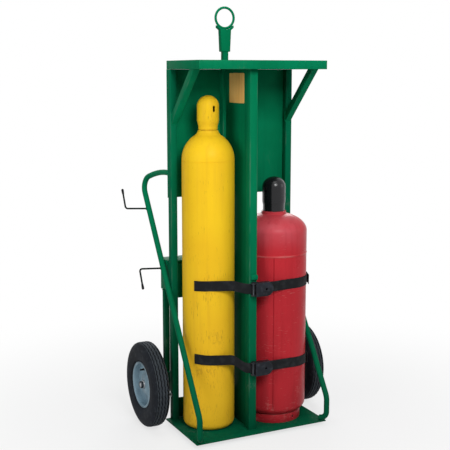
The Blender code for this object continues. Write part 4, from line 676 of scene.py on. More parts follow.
# Welds: arc-welded beads, rippled and painted over, where tubes stand on plate and brackets meet tubes,
# with short stitches down the inner corners of the sheets.
WELD_SIZE, WELD_STEP, STITCH, STITCH_GAP = (0.0021, 0.0021, 0.0017), 0.0026, 0.038, 0.170
PLATE_TOP, ROOF_TOP, STEM_HALF, BRACE_RISE = 0.0257, 1.6738, 0.0127, 0.044
BRACKET_FACE, BRACKET_END, STUB_WELD, RING_PROUD, RING_STEPS = 0.3024, 0.004, 0.0114, 0.0004, 24
TOE_SIDE, TOE_BACK, TOE_TIP, TOE_Z, HOOK_PROUD = 0.0066, 0.014, 0.003, 0.0268, 0.0006
SHEET_FOOT, SHEET_HEAD, PANEL_END, INNER_X = 0.06, 0.05, 0.02, 0.3
weld_points, weld_edges = [], []


def weld(points, closed=False):
    """One more run of weld through some points."""
    first = len(weld_points)
    weld_points.extend(points)
    weld_edges.extend((first + a, first + b) for a, b in chain(len(points), closed))


def weld_ring(centre, radius, axis):
    """A weld round a bar that runs along an axis."""
    ring = []
    for k in range(RING_STEPS):
        angle = 2 * math.pi * k / RING_STEPS
        across, up = radius * math.cos(angle), radius * math.sin(angle)
        ring.append((centre[0], centre[1] + across, centre[2] + up) if axis == "X"
                    else (centre[0] + across, centre[1], centre[2] + up))
    weld(ring, closed=True)


for node in ("left_upright", "right_upright", "firewall_front_post", "firewall_rear_post"):
    low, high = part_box(node)
    weld([(low[0], high[1], PLATE_TOP), (low[0], low[1], PLATE_TOP), (high[0], low[1], PLATE_TOP),
          (high[0], high[1], PLATE_TOP)])
stem_corners = ((-1, -1), (1, -1), (1, 1), (-1, 1))
weld([(EYE_X + a * STEM_HALF, EYE_Y + b * STEM_HALF, ROOF_TOP) for a, b in stem_corners], closed=True)
for side, sign in (("left", -1), ("right", 1)):
    low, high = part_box(side + "_roof_brace")
    rise = low[2] + BRACE_RISE
    weld([(low[0], high[1], rise), (low[0], high[1], low[2]),
          (high[0], high[1], low[2]), (high[0], high[1], rise)])
    low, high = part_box(side + "_axle_leg")
    weld([(low[0], low[1], high[2]), (high[0], low[1], high[2]), (high[0], high[1], high[2]),
          (low[0], high[1], high[2])], closed=True)
    x, y, z = HANDLE_CORNERS[0]
    weld_ring((sign * x, y + RING_PROUD, z), HANDLE_BAR + RING_PROUD, "Y")
    weld_ring((sign * BRACKET_FACE, AXLE_Y, AXLE_Z), STUB_WELD, "X")
    for y in BRACKET_Y:
        weld([(sign * BRACKET_FACE, y, BRACKET_Z[0] + BRACKET_END),
              (sign * BRACKET_FACE, y, BRACKET_Z[1] - BRACKET_END)])
    toe, heel = Vector(HANDLE_CORNERS[-1]), Vector(HANDLE_CORNERS[-2])
    along = (toe - heel).normalized()
    aside = Vector((along.y, -along.x, 0.0)) * TOE_SIDE
    toe.z = TOE_Z
    back = toe - along * TOE_BACK
    run = (back + aside, toe + aside, toe + along * TOE_TIP, toe - aside, back - aside)
    weld([(sign * v.x, v.y, v.z) for v in run])
for level, y, z, turn in HOOKS:
    weld_ring((HOOK_ROOT - HOOK_PROUD, y, z), HOOK_ROD + RING_PROUD, "X")
sheet_low, sheet_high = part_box("firewall_sheet")
panel_low, panel_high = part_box("upper_back_panel")
seams = [(x, y, sheet_low[2] + SHEET_FOOT, sheet_high[2] - SHEET_HEAD)
         for x in (sheet_low[0], sheet_high[0]) for y in (sheet_low[1], sheet_high[1])]
for node in ("left_upright", "firewall_rear_post", "right_upright"):
    low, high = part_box(node)
    seams += [(x, high[1], panel_low[2] + PANEL_END, panel_high[2] - PANEL_END)
              for x in (low[0], high[0]) if abs(x) < INNER_X]
for x, y, bottom, top in seams:
    for k in range(math.ceil((top - bottom) / STITCH_GAP)):
        start = bottom + k * STITCH_GAP
        weld([(x, y, start), (x, y, min(start + STITCH, top))])
beads = studded_tree("bead_row", along=True)
bm = grown("welds", beads, weld_points, weld_edges,
           {"Stud size": WELD_SIZE, "Spacing": WELD_STEP, "Finish": green_enamel})
finish_piece("frame_weld_beads", bm, green_enamel, "cart", crease=80.0)

# Wheels: ribbed pneumatic tyres on pressed, blue grey enamelled rims, with a turned hub and a
# rubber valve stem standing out of the dish.

# tyre rubber, moulded: dull blue black, dusty in patches, its ribs lightened with dust and a painted
# highlight and its grooves blackened as painted shade
tyre_rubber = moulded("tyre_rubber_moulded", base="#191b1f", pale="#22252b", rough=0.62, grain_mm=6.0,
                      dust="#616a70", dust_share=0.14)
# natural rubber, moulded: plain dull black with a little dust
stem_rubber = moulded("black_rubber_moulded", base="#17181a", pale="#222325", rough=0.55, grain_mm=4.0,
                      dust="#5a5a58", dust_share=0.2)
# baked enamel: a smooth blue grey with darker runs, and darker where the bead has rubbed it
rim_enamel = enamel("blue_grey_enamel_baked", base="#8ea6b2", deep="#7791a0", darkening_colour="#3f4c54",
                    bare="#2c3135", rough=0.34, streaks=0.45, darkening_top=0.3, specular=0.10)
TYRE_RADIUS, TYRE_STEPS, SHOULDER_FROM = 0.196, 192, 0.170
TYRE_FLANK = ((0.1000, 0.0297), (0.1085, 0.0297), (0.1192, 0.0368), (0.1450, 0.0410), (0.1680, 0.0392),
              (0.1836, 0.0340), (0.1916, 0.0280), (0.1955, 0.0190), (0.1960, 0.0))
GROOVES = (0.0075, 0.0215)
GROOVE_HALF, GROOVE_DEEP, WAVE, WAVES = 0.0026, 0.0065, 0.0016, 48
GROOVE_PROFILE = ((1.5, 0.0), (1.0, 0.0), (0.62, 1.0), (-0.62, 1.0), (-1.0, 0.0), (-1.5, 0.0))
RIDGES, RIDGE_HALF = ((0.118, 0.0012), (0.160, 0.0009)), 0.0022
TREAD_HALF, TREAD_FLOOR, TREAD_CROWN = 0.0290, 0.1845, 0.1912
TYRE_CAVITY = ((0.187, 0.0231), (0.1576, 0.033), (0.109, 0.0207), (0.100, 0.0207))


def smooth_line(points, steps):
    """Catmull-Rom points through a line."""
    line = []
    for i in range(len(points) - 1):
        p = [Vector(points[max(0, min(len(points) - 1, i + j))]) for j in (-1, 0, 1, 2)]
        for k in range(steps):
            t = k / steps
            line.append(0.5 * (2 * p[1] + (p[2] - p[0]) * t + (2 * p[0] - 5 * p[1] + 4 * p[2] - p[3]) * t ** 2
                               + (3 * p[1] - p[0] - 3 * p[2] + p[3]) * t ** 3))
    line.append(Vector(points[-1]))
    return line


def tread_height(across):
    """Crown radius of the tyre at a distance from its middle plane."""
    for (r0, x0), (r1, x1) in zip(flank[:-1], flank[1:]):
        if x1 <= across <= x0 and r0 > SHOULDER_FROM:
            return r0 + (r1 - r0) * (x0 - across) / max(x0 - x1, 1e-6)
    return TYRE_RADIUS


flank = [(min(p.x, TYRE_RADIUS), p.y) for p in smooth_line(TYRE_FLANK, steps=5)]
half_tyre = []
for r, x in flank:
    for ridge, rise in RIDGES:
        if abs(r - ridge) < RIDGE_HALF:
            x += rise
    if x > GROOVES[1] + GROOVE_HALF * 2:
        half_tyre.append((r, x, 0.0))
for groove in reversed(GROOVES):
    for offset, depth in GROOVE_PROFILE:
        x = groove + offset * GROOVE_HALF
        half_tyre.append((tread_height(x) - depth * GROOVE_DEEP, x, WAVE))
whole_tyre = half_tyre + [(r, -x, w) for r, x, w in reversed(half_tyre)]
whole_tyre += [(r, -x, 0.0) for r, x in reversed(TYRE_CAVITY)] + [(r, x, 0.0) for r, x in TYRE_CAVITY]
RIM_PROFILE = ((0.1072, 0.0300), (0.0997, 0.0300), (0.0997, -0.0300), (0.1072, -0.0300), (0.1072, -0.0330),
               (0.0967, -0.0330), (0.0967, 0.0000), (0.0585, 0.0050), (0.0385, 0.0170), (0.0193, 0.0170),
               (0.0193, 0.0200), (0.0400, 0.0200), (0.0600, 0.0080), (0.0755, 0.0074), (0.0785, 0.0048),
               (0.0967, 0.0030), (0.0967, 0.0330), (0.1072, 0.0330))
RIM_BENDS = (0.0012, 0.0018, 0.0018, 0.0012, 0.0012, 0.0040, 0.0030, 0.0060, 0.0060,
             0.0010, 0.0010, 0.0080, 0.0060, 0.0012, 0.0012, 0.0050, 0.0040, 0.0012)
FLANGE_RADIUS, FLANGE_SIDE, FLANGE_WEAR = 0.0975, 0.0300, 1.6
HUB_PROFILE = ((0.0098, 0.363), (0.0165, 0.363), (0.0190, 0.3655), (0.0190, 0.4270), (0.0180, 0.4298),
               (0.0165, 0.4310), (0.0140, 0.4310), (0.0132, 0.4300), (0.0098, 0.4300))
STEM_PROFILE = ((0.0, 0.0072), (0.0058, 0.0072), (0.0054, 0.0100), (0.0050, 0.0140), (0.0050, 0.0232),
                (0.0046, 0.0250), (0.0036, 0.0262), (0.0035, 0.0300), (0.0042, 0.0302), (0.0042, 0.0362),
                (0.0030, 0.0370), (0.0, 0.0371))
VALVE_RISE = 0.072


def rounded_ring(profile, bends, steps):
    """A closed profile with its corners rounded, each by less than half of its shorter side."""
    most = 0.45
    count = len(profile)
    line = []
    for i in range(count):
        before, corner, after = (Vector(profile[(i + j) % count]) for j in (-1, 0, 1))
        into = (before - corner).normalized()
        out = (after - corner).normalized()
        reach = min(bends[i], (before - corner).length * most, (after - corner).length * most)
        for k in range(steps + 1):
            t = k / steps
            line.append(corner + into * reach * (1 - t) ** 2 + out * reach * t ** 2)
    return line


for side, sign in (("left", -1), ("right", 1)):
    body = side + "_wheel"
    centre = Matrix.Translation((sign * WHEEL_X, AXLE_Y, AXLE_Z))
    outward = centre @ Matrix.Rotation(sign * math.pi / 2, 4, "Y")
    bm = bmesh.new()
    tread = bm.faces.layers.float.new("tread")
    loops = []
    for r, x, wave in whole_tyre:
        loop = []
        for k in range(TYRE_STEPS):
            angle = 2 * math.pi * k / TYRE_STEPS
            zigzag = abs((k * WAVES / TYRE_STEPS) % 1.0 - 0.5) * 4 - 1
            point = Vector((r * math.cos(angle), r * math.sin(angle), x + wave * zigzag))
            loop.append(bm.verts.new(outward @ point))
        loops.append(loop)
    skin(bm, loops, "join")
    # tread ribs and grooves are marked here for the rubber's painted highlight and painted shade
    for face in bm.faces:
        middle = outward.inverted() @ face.calc_center_median()
        if abs(middle.z) < TREAD_HALF and middle.xy.length > TREAD_FLOOR:
            face[tread] = 1.0 if middle.xy.length > TREAD_CROWN else -1.0
    finish_piece(side + "_tyre_ribbed", bm, tyre_rubber, body, (side + "_tyre",), crease=40.0)
    bm = bmesh.new()
    edge_marked = bm.faces.layers.float.new("edge")
    turned(bm, rounded_ring(RIM_PROFILE, RIM_BENDS, steps=4), segments=96, place=outward, shut=True)
    for face in bm.faces:
        middle = outward.inverted() @ face.calc_center_median()
        if abs(middle.z) > FLANGE_SIDE and middle.xy.length > FLANGE_RADIUS:
            face[edge_marked] = FLANGE_WEAR
    finish_piece(side + "_rim_pressing", bm, rim_enamel, body, (side + "_rim",), crease=60.0)
    bm = bmesh.new()
    turned(bm, [(r, x - WHEEL_X) for r, x in HUB_PROFILE], segments=64, place=outward, shut=True)
    finish_piece(side + "_hub_turning", bm, zinc, body, (side + "_hub",), crease=40.0)
    bm = bmesh.new()
    turned(bm, STEM_PROFILE, segments=32, place=Matrix.Translation((0.0, 0.0, VALVE_RISE)) @ outward)
    finish_piece(side + "_valve_stem_moulding", bm, stem_rubber, body,
                 (side + "_valve_stem",), crease=40.0)

# Oxygen cylinder: a forged and spun steel bottle in yellow enamel, standing on its own rounded foot. Its
# shoulder sweeps up to a threaded neck, and a pressed cap in the same yellow screws down over it.

# sprayed enamel: warm yellow, browner towards the foot, with fine dark scratches from handling; the same dark
# brown fills the neck recess under the cap as grime and painted shade
yellow_enamel = enamel("yellow_enamel_sprayed", base="#eac022", deep="#e4b520", darkening_colour="#b98428",
                       bare="#6b4a22", rough=0.40, streaks=0.24, chips=0.28, stroke_mm=(2.4, 30.0),
                       strokes=0.42, stroke_from=0.985, foot_darkening=0.42, darkening_top=1.1, specular=0.05)
OXYGEN_AXIS = Matrix.Translation((-0.170966, 0.01206, 0.0))
OXYGEN_RADIUS, OXYGEN_FOOT, OXYGEN_TOP, OXYGEN_RISE = 0.1175, 0.0253, 1.2410, 0.126
OXYGEN_KNUCKLE, KNUCKLE_STEPS, BOTTLE_STEPS = 0.0275, 12, 128
OXYGEN_WALL, OXYGEN_RINGS = (0.053, 1.239), 40
OXYGEN_GROOVE = ((0.0, 1.2392), (0.0010, 1.2398), (0.0010, 1.2403))
OXYGEN_FLARE = ((0.0565, 1.3517), (0.0530, 1.3555), (0.0500, 1.3595), (0.0475, 1.3635), (0.0458, 1.3672),
                (0.0448, 1.3704), (0.0443, 1.3724), (0.0438, 1.3728), (0.0380, 1.3728), (0.0380, 1.3895),
                (0.0375, 1.3900), (0.0140, 1.3900), (0.0140, 1.3450), (0.0, 1.3450))
# the neck recess under the cap, which the enamel darkens brown as grime and painted shade
GAP_RADIUS, GAP_Z, GAP_GRIME_AND_SHADE = 0.0443, (1.3720, 1.3760), 3.0


def dome(radius, rise, foot, inner, steps, down=False):
    """Points of an elliptic head from its foot to an inner radius."""
    stop = math.acos(inner / radius)
    points = []
    for k in range(steps + 1):
        angle = stop * k / steps
        points.append((radius * math.cos(angle), foot + (-1 if down else 1) * rise * math.sin(angle)))
    return points


oxygen_line = [(0.0, OXYGEN_FOOT)]
for k in range(KNUCKLE_STEPS + 1):
    angle = math.pi / 2 * k / KNUCKLE_STEPS
    oxygen_line.append((OXYGEN_RADIUS - OXYGEN_KNUCKLE + OXYGEN_KNUCKLE * math.sin(angle),
                        OXYGEN_FOOT + OXYGEN_KNUCKLE - OXYGEN_KNUCKLE * math.cos(angle)))
for k in range(1, OXYGEN_RINGS):
    oxygen_line.append((OXYGEN_RADIUS, OXYGEN_WALL[0] + (OXYGEN_WALL[1] - OXYGEN_WALL[0]) * k / OXYGEN_RINGS))
oxygen_line += [(OXYGEN_RADIUS - depth, z) for depth, z in OXYGEN_GROOVE]
oxygen_line += dome(OXYGEN_RADIUS, OXYGEN_RISE, OXYGEN_TOP, inner=0.060, steps=24)
oxygen_line += OXYGEN_FLARE
bm = bmesh.new()
edge_marked = bm.faces.layers.float.new("edge")
turned(bm, oxygen_line, segments=BOTTLE_STEPS, place=OXYGEN_AXIS)
# faces of the neck recess get a strong edge mark, so the enamel darkens them brown: grime and painted shade
for face in bm.faces:
    middle = OXYGEN_AXIS.inverted() @ face.calc_center_median()
    if middle.xy.length < GAP_RADIUS and GAP_Z[0] < middle.z < GAP_Z[1]:
        face[edge_marked] = GAP_GRIME_AND_SHADE
finish_piece("oxygen_bottle", bm, yellow_enamel, "cart", ("oxygen_cylinder",))


def cap_piece(name, place, foot, bore, skirt_radius, radius, rises, slot_angle, material, body, node):
    """A pressed and screwed cap: skirt, flare, wall and dome, with two vent slots and a crown hole."""
    wall, lip, swell, flare_steps, crown_hole = 0.0042, 0.0006, 0.002, 8, 0.005
    slot_half, slot_high, slot_round, slot_drop, slot_reach = 0.006, 0.014, 0.0059, 0.012, 0.1
    skirt, shoulder, spring, rise = rises
    outer = [(skirt_radius - lip, 0.0), (skirt_radius, lip), (skirt_radius, skirt - swell)]
    for k in range(flare_steps + 1):
        t = k / flare_steps
        ease = t * t * (3 - 2 * t)
        outer.append((skirt_radius + (radius - skirt_radius) * ease, skirt + (shoulder - skirt) * t))
    outer += dome(radius, rise, spring, inner=crown_hole, steps=18)
    inside = dome(radius - wall, rise - wall, spring, inner=crown_hole, steps=12)
    line = [(bore, 0.0)] + outer + inside[::-1] + [(radius - wall, shoulder), (bore, skirt)]
    bm = bmesh.new()
    turned(bm, line, segments=72, place=Matrix.Identity(4), shut=True)
    shell = bpy.data.objects.new(name, mesh_from(name, bm))
    bm = bmesh.new()
    outline = rounded_outline((-slot_half, -slot_high), (slot_half, slot_high), slot_round, steps=8)
    loops = []
    for y in (-slot_reach, slot_reach):
        loops.append([bm.verts.new((x, y, spring - slot_drop + z)) for x, z in outline])
    skin(bm, loops)
    bmesh.ops.rotate(bm, verts=bm.verts, matrix=Matrix.Rotation(slot_angle - math.pi / 2, 3, "Z"))
    punch = bpy.data.objects.new(name + "_punch", mesh_from(name + "_punch", bm))
    scene.collection.objects.link(shell)
    scene.collection.objects.link(punch)
    cut = shell.modifiers.new("slots", "BOOLEAN")
    cut.operation = "DIFFERENCE"
    cut.solver = "EXACT"
    cut.object = punch
    made = bpy.data.meshes.new_from_object(shell.evaluated_get(bpy.context.evaluated_depsgraph_get()))
    bpy.data.objects.remove(shell, do_unlink=True)
    bpy.data.objects.remove(punch, do_unlink=True)
    bm = bmesh.new()
    bm.from_mesh(made)
    bpy.data.meshes.remove(made)
    bmesh.ops.transform(bm, matrix=place @ Matrix.Translation((0.0, 0.0, foot)), verts=bm.verts)
    finish_piece(name, bm, material, body, (node,))


cap_piece("oxygen_cap_pressing", OXYGEN_AXIS, foot=1.3757, bore=0.0388, skirt_radius=0.0430, radius=0.0485,
          rises=(0.0126, 0.0406, 0.1026, 0.046), slot_angle=math.radians(-82.5), material=yellow_enamel,
          body="oxygen_cap_body", node="oxygen_cap")

# Valves: a turned brass body screwed into the neck of each bottle, shut by a small cast handwheel on its
# spindle. Both stand under the caps.

# brass, turned: warm yellow metal with fine tool marks, brown where it has tarnished
brass = metal("brass_turned", base="#c9a552", dull="#a8843c", stain="#6d5526", rough=0.30, scratch_mm=2.0)
# stoved enamel: deep black with a clear gloss that mirrors the lamps
black_enamel = enamel("black_enamel_stoved", base="#131316", deep="#0f1012", darkening_colour="#0a0b0c",
                      bare="#4b4d4f", rough=0.20, specular=0.35)
for gas in ("oxygen", "acetylene"):
    softened(gas + "_valve", gas + "_valve_turning", brass, broken_edge=0.0004)
    softened(gas + "_handwheel", gas + "_valve_handwheel", black_enamel,
             body=gas + "_wheel", broken_edge=0.0008)

# Acetylene cylinder: a wider welded bottle in red enamel with domed ends, a girth weld, a long seam
# and a drilled foot ring, under a black stoved cap.

# sprayed enamel: glossy deep red, pinker on the shoulder from sun chalking and a painted highlight, with few
# pale level scratches
red_enamel = enamel("red_enamel_sprayed", base="#b62a32", deep="#a9262e", darkening_colour="#7c161c",
                    bare="#d0938c", rough=0.31, streaks=0.28, chips=0.12, stroke_mm=(30.0, 2.2),
                    strokes=0.24, stroke_from=1.025, foot_darkening=0.38, darkening_top=0.9,
                    chalk_and_highlight=("#e08a96", 0.81, 0.95, 0.26), specular=0.08)
# the same enamel, darker and brownish, on the raised long seam: painted shade along the seam
seam_shade_enamel = enamel("red_enamel_seam_shade", base="#9a2129", deep="#8a1c23", darkening_colour="#5f1216",
                     bare="#b06a66", rough=0.45, streaks=0.4)
ACETYLENE_AXIS = Matrix.Translation((0.14842, -0.014346, 0.0))
ACETYLENE_RADIUS, ACETYLENE_FOOT, ACETYLENE_TOP = 0.1524, 0.1000, 0.9090
ACETYLENE_RISE, FOOT_RISE = 0.084, 0.060
LOWER_WALL, LOWER_RINGS, UPPER_WALL, UPPER_RINGS = 0.700, 26, 0.830, 3
GIRTH_Z, GIRTH_HALF, GIRTH_PROUD, GIRTH_STEPS, GIRTH_WEAR = 0.8090, 0.0040, 0.0016, 6, 0.8
SEAM_ANGLE, SEAM_BAR, SEAM_SUNK, SEAM_STEPS = math.radians(-118.0), 0.0030, 0.0018, 12
COLLAR_PROFILE = ((0.0572, 0.0002), (0.0560, 0.0016), (0.0560, 0.0104), (0.0556, 0.0116), (0.0544, 0.0120),
                  (0.0445, 0.0120), (0.0445, 0.0355), (0.0440, 0.0360), (0.0140, 0.0360), (0.0140, -0.0090),
                  (0.0, -0.0090))
acetylene_line = dome(ACETYLENE_RADIUS, FOOT_RISE, ACETYLENE_FOOT, inner=0.0, steps=18, down=True)[::-1]
acetylene_line[0] = (0.0, acetylene_line[0][1])
for k in range(1, LOWER_RINGS + 1):
    acetylene_line.append((ACETYLENE_RADIUS, ACETYLENE_FOOT + LOWER_WALL * k / LOWER_RINGS))
for k in range(GIRTH_STEPS + 1):
    angle = math.pi * k / GIRTH_STEPS
    acetylene_line.append((ACETYLENE_RADIUS + GIRTH_PROUD * math.sin(angle),
                           GIRTH_Z - GIRTH_HALF * math.cos(angle)))
for k in range(UPPER_RINGS):
    acetylene_line.append((ACETYLENE_RADIUS, UPPER_WALL + (ACETYLENE_TOP - UPPER_WALL) * k / UPPER_RINGS))
acetylene_line += dome(ACETYLENE_RADIUS, ACETYLENE_RISE, ACETYLENE_TOP, inner=0.058, steps=24)
seat = acetylene_line[-1][1]
acetylene_line += [(r, seat + z) for r, z in COLLAR_PROFILE]
bm = bmesh.new()
edge_marked = bm.faces.layers.float.new("edge")
turned(bm, acetylene_line, segments=BOTTLE_STEPS, place=ACETYLENE_AXIS)
for face in bm.faces:
    if abs(face.calc_center_median().z - GIRTH_Z) < GIRTH_HALF:
        face[edge_marked] = GIRTH_WEAR
finish_piece("acetylene_bottle", bm, red_enamel, "cart", ("acetylene_cylinder",))
reach = ACETYLENE_RADIUS - SEAM_SUNK
seam = []
for k in range(SEAM_STEPS + 1):
    z = ACETYLENE_FOOT + (GIRTH_Z - ACETYLENE_FOOT) * k / SEAM_STEPS
    seam.append(ACETYLENE_AXIS @ Vector((reach * math.cos(SEAM_ANGLE), reach * math.sin(SEAM_ANGLE), z)))
bm = grown("seam", round_bar, seam, chain(len(seam)),
           {"Bar radius": SEAM_BAR, "Sides": 14, "Finish": seam_shade_enamel})
finish_piece("acetylene_long_seam", bm, seam_shade_enamel, "cart")
softened("acetylene_foot_ring", "acetylene_foot_ring_band", red_enamel, broken_edge=0.0008)
cap_piece("acetylene_cap_pressing", ACETYLENE_AXIS, foot=0.9990, bore=0.0453, skirt_radius=0.0495,
          radius=0.0530, rises=(0.022, 0.046, 0.110, 0.046), slot_angle=math.radians(15.0),
          material=black_enamel, body="acetylene_cap_body", node="acetylene_cap")

# Straps: 46 mm black polyester webbing, a tail round the oxygen cylinder to each ratchet's drum and a
# band from its tie bar round the acetylene cylinder, folded back over an anchor loop and sewn.
SPOOL = Vector((-0.039976, -0.178))
OXYGEN_PLAN, ACETYLENE_PLAN = OXYGEN_AXIS.to_translation().xy, ACETYLENE_AXIS.to_translation().xy
STRAP_WIDE, STRAP_THICK, STRAP_LAY, SELVEDGE = 0.046, 0.0025, 0.00155, 0.0011
TIE_OFFSET, TIE_RADIUS, DRUM_RADIUS = 0.068, 0.005, 0.007
ANCHOR_ROD, ANCHOR_BEND, ANCHOR_CLEAR, ANCHOR_WALL = 0.004, 0.008, 0.002, (0.306, 0.1032)
LOOP_ANGLE, FOLD_ANGLE, TAIL_ANGLE = math.radians(-10.0), math.radians(-34.0), math.radians(-147.0)
BOTTLE_TURN, BAR_TURN = math.radians(2.0), math.radians(10.0)
STRAP_LEAD, LEAD_STEPS, FALL_FROM, FOLD_STANDOFF, SEWN = 0.022, 36, 0.54, 0.0105, (0.25, 0.92)


def webbing(name, base, pale, dust):
    """Woven polyester: ribs along the strap, cross picks, dull sheen and dust in the weave."""
    # the real ribs are about 1.5 mm apart; they are drawn at 4.6 mm, ten to the width, so that they show
    rib_mm, pick_mm, film_mm = 4.6, 3.0, 30.0
    pick_share = 0.4
    mat = bpy.data.materials.new(name)
    tree = bare_tree(mat)
    lay = add_node(tree, "ShaderNodeUVMap", uv_map="lay").outputs[0]
    split = add_node(tree, "ShaderNodeSeparateXYZ", {0: lay})
    ribs = add_node(tree, "ShaderNodeMath", {0: split.outputs["Y"], 1: 2000 * math.pi / rib_mm},
                    operation="MULTIPLY")
    ribs = add_node(tree, "ShaderNodeMath", {0: ribs.outputs[0]}, operation="SINE")
    picks = add_node(tree, "ShaderNodeMath", {0: split.outputs["X"], 1: 2000 * math.pi / pick_mm},
                     operation="MULTIPLY")
    picks = add_node(tree, "ShaderNodeMath", {0: picks.outputs[0]}, operation="SINE")
    weave = add_node(tree, "ShaderNodeMath", {0: picks.outputs[0], 1: pick_share, 2: ribs.outputs[0]},
                     operation="MULTIPLY_ADD")
    where = add_node(tree, "ShaderNodeTexCoord").outputs["Object"]
    film = add_node(tree, "ShaderNodeTexNoise", {"Vector": where, "Scale": 1000 / film_mm, "Detail": 5.0})
    high = add_node(tree, "ShaderNodeMapRange",
                    {"Value": weave.outputs[0], "From Min": -1 - pick_share, "From Max": 1 + pick_share})
    tone = add_node(tree, "ShaderNodeMix", {0: high.outputs[0], 6: colour(base), 7: colour(pale)},
                    data_type="RGBA")
    dusted = add_node(tree, "ShaderNodeMapRange",
                      {"Value": film.outputs["Fac"], "From Min": 0.5, "From Max": 0.8, "To Max": 0.3})
    final = add_node(tree, "ShaderNodeMix", {0: dusted.outputs[0], 6: tone.outputs[2], 7: colour(dust)},
                     data_type="RGBA")
    gloss = add_node(tree, "ShaderNodeMapRange", {"Value": high.outputs[0], "To Min": 0.85, "To Max": 0.65})
    bump = add_node(tree, "ShaderNodeBump", {"Strength": 0.4, "Distance": 0.0006, "Height": high.outputs[0]})
    shader = add_node(tree, "ShaderNodeBsdfPrincipled",
                      {"Base Color": final.outputs[2], "Roughness": gloss.outputs[0],
                       "Normal": bump.outputs[0], "Specular IOR Level": 0.04, "Sheen Weight": 0.03})
    add_node(tree, "ShaderNodeOutputMaterial", {"Surface": shader.outputs[0]})
    return mat


def plan_arc(centre, radius, start, stop, step):
    """Points on a circle in plan."""
    steps = max(2, math.ceil(abs(stop - start) / step))
    points = []
    for k in range(steps + 1):
        angle = start + (stop - start) * k / steps
        points.append(Vector((centre.x + radius * math.cos(angle), centre.y + radius * math.sin(angle))))
    return points


def crossing(front, front_radius, rear, rear_radius, turn):
    """Angle of the normal of a line that passes behind one circle and in front of another."""
    span = rear - front
    return math.atan2(span.y, span.x) + turn * math.acos((front_radius + rear_radius) / span.length)


def strap(name, points, material, node):
    """Webbing standing on edge along a path, with rounded selvedges and its lay in metres as UV."""
    across = [-0.5, -0.48, -0.40, -0.2, 0.0, 0.2, 0.40, 0.48, 0.5]
    bm = bmesh.new()
    lay = bm.loops.layers.uv.new("lay")
    loops, travelled, distance = [], [], 0.0
    for i, point in enumerate(points):
        along = Vector((0.0, 0.0, 0.0))
        if i > 0:
            along += (point - points[i - 1]).xy.normalized().to_3d()
            distance += (point - points[i - 1]).length
        if i < len(points) - 1:
            along += (points[i + 1] - point).xy.normalized().to_3d()
        out = Vector((along.y, -along.x, 0.0)).normalized()
        ring = []
        for side, order in ((1, across), (-1, across[::-1])):
            for share in order:
                half = STRAP_THICK / 2 - (SELVEDGE if abs(share) == 0.5 else 0.0)
                ring.append(bm.verts.new(point + out * side * half + Vector((0.0, 0.0, share * STRAP_WIDE))))
        loops.append(ring)
        travelled.append(distance)
    heights = across + across[::-1]
    size = len(heights)
    for i in range(len(loops) - 1):
        for k in range(size):
            j = (k + 1) % size
            face = bm.faces.new((loops[i][k], loops[i][j], loops[i + 1][j], loops[i + 1][k]))
            values = ((i, k), (i, j), (i + 1, j), (i + 1, k))
            for corner, (row, column) in zip(face.loops, values):
                corner[lay].uv = (travelled[row], heights[column] * STRAP_WIDE)
    bm.faces.new(loops[0])
    bm.faces.new(loops[-1])
    bmesh.ops.recalc_face_normals(bm, faces=bm.faces)
    return finish_piece(name, bm, material, "cart", (node,), crease=60.0)


# woven polyester: dull black ribs with grey dust lying in the weave
polyester = webbing("polyester_webbing_woven", base="#121314", pale="#222426", dust="#46484a")
# nylon, moulded: smooth blue black with a faint sheen and patchy dust
grip_plastic = moulded("black_nylon_moulded", base="#14161a", pale="#20242b", rough=0.34, grain_mm=3.0,
                       dust="#565b64", dust_share=0.22, specular=0.12)
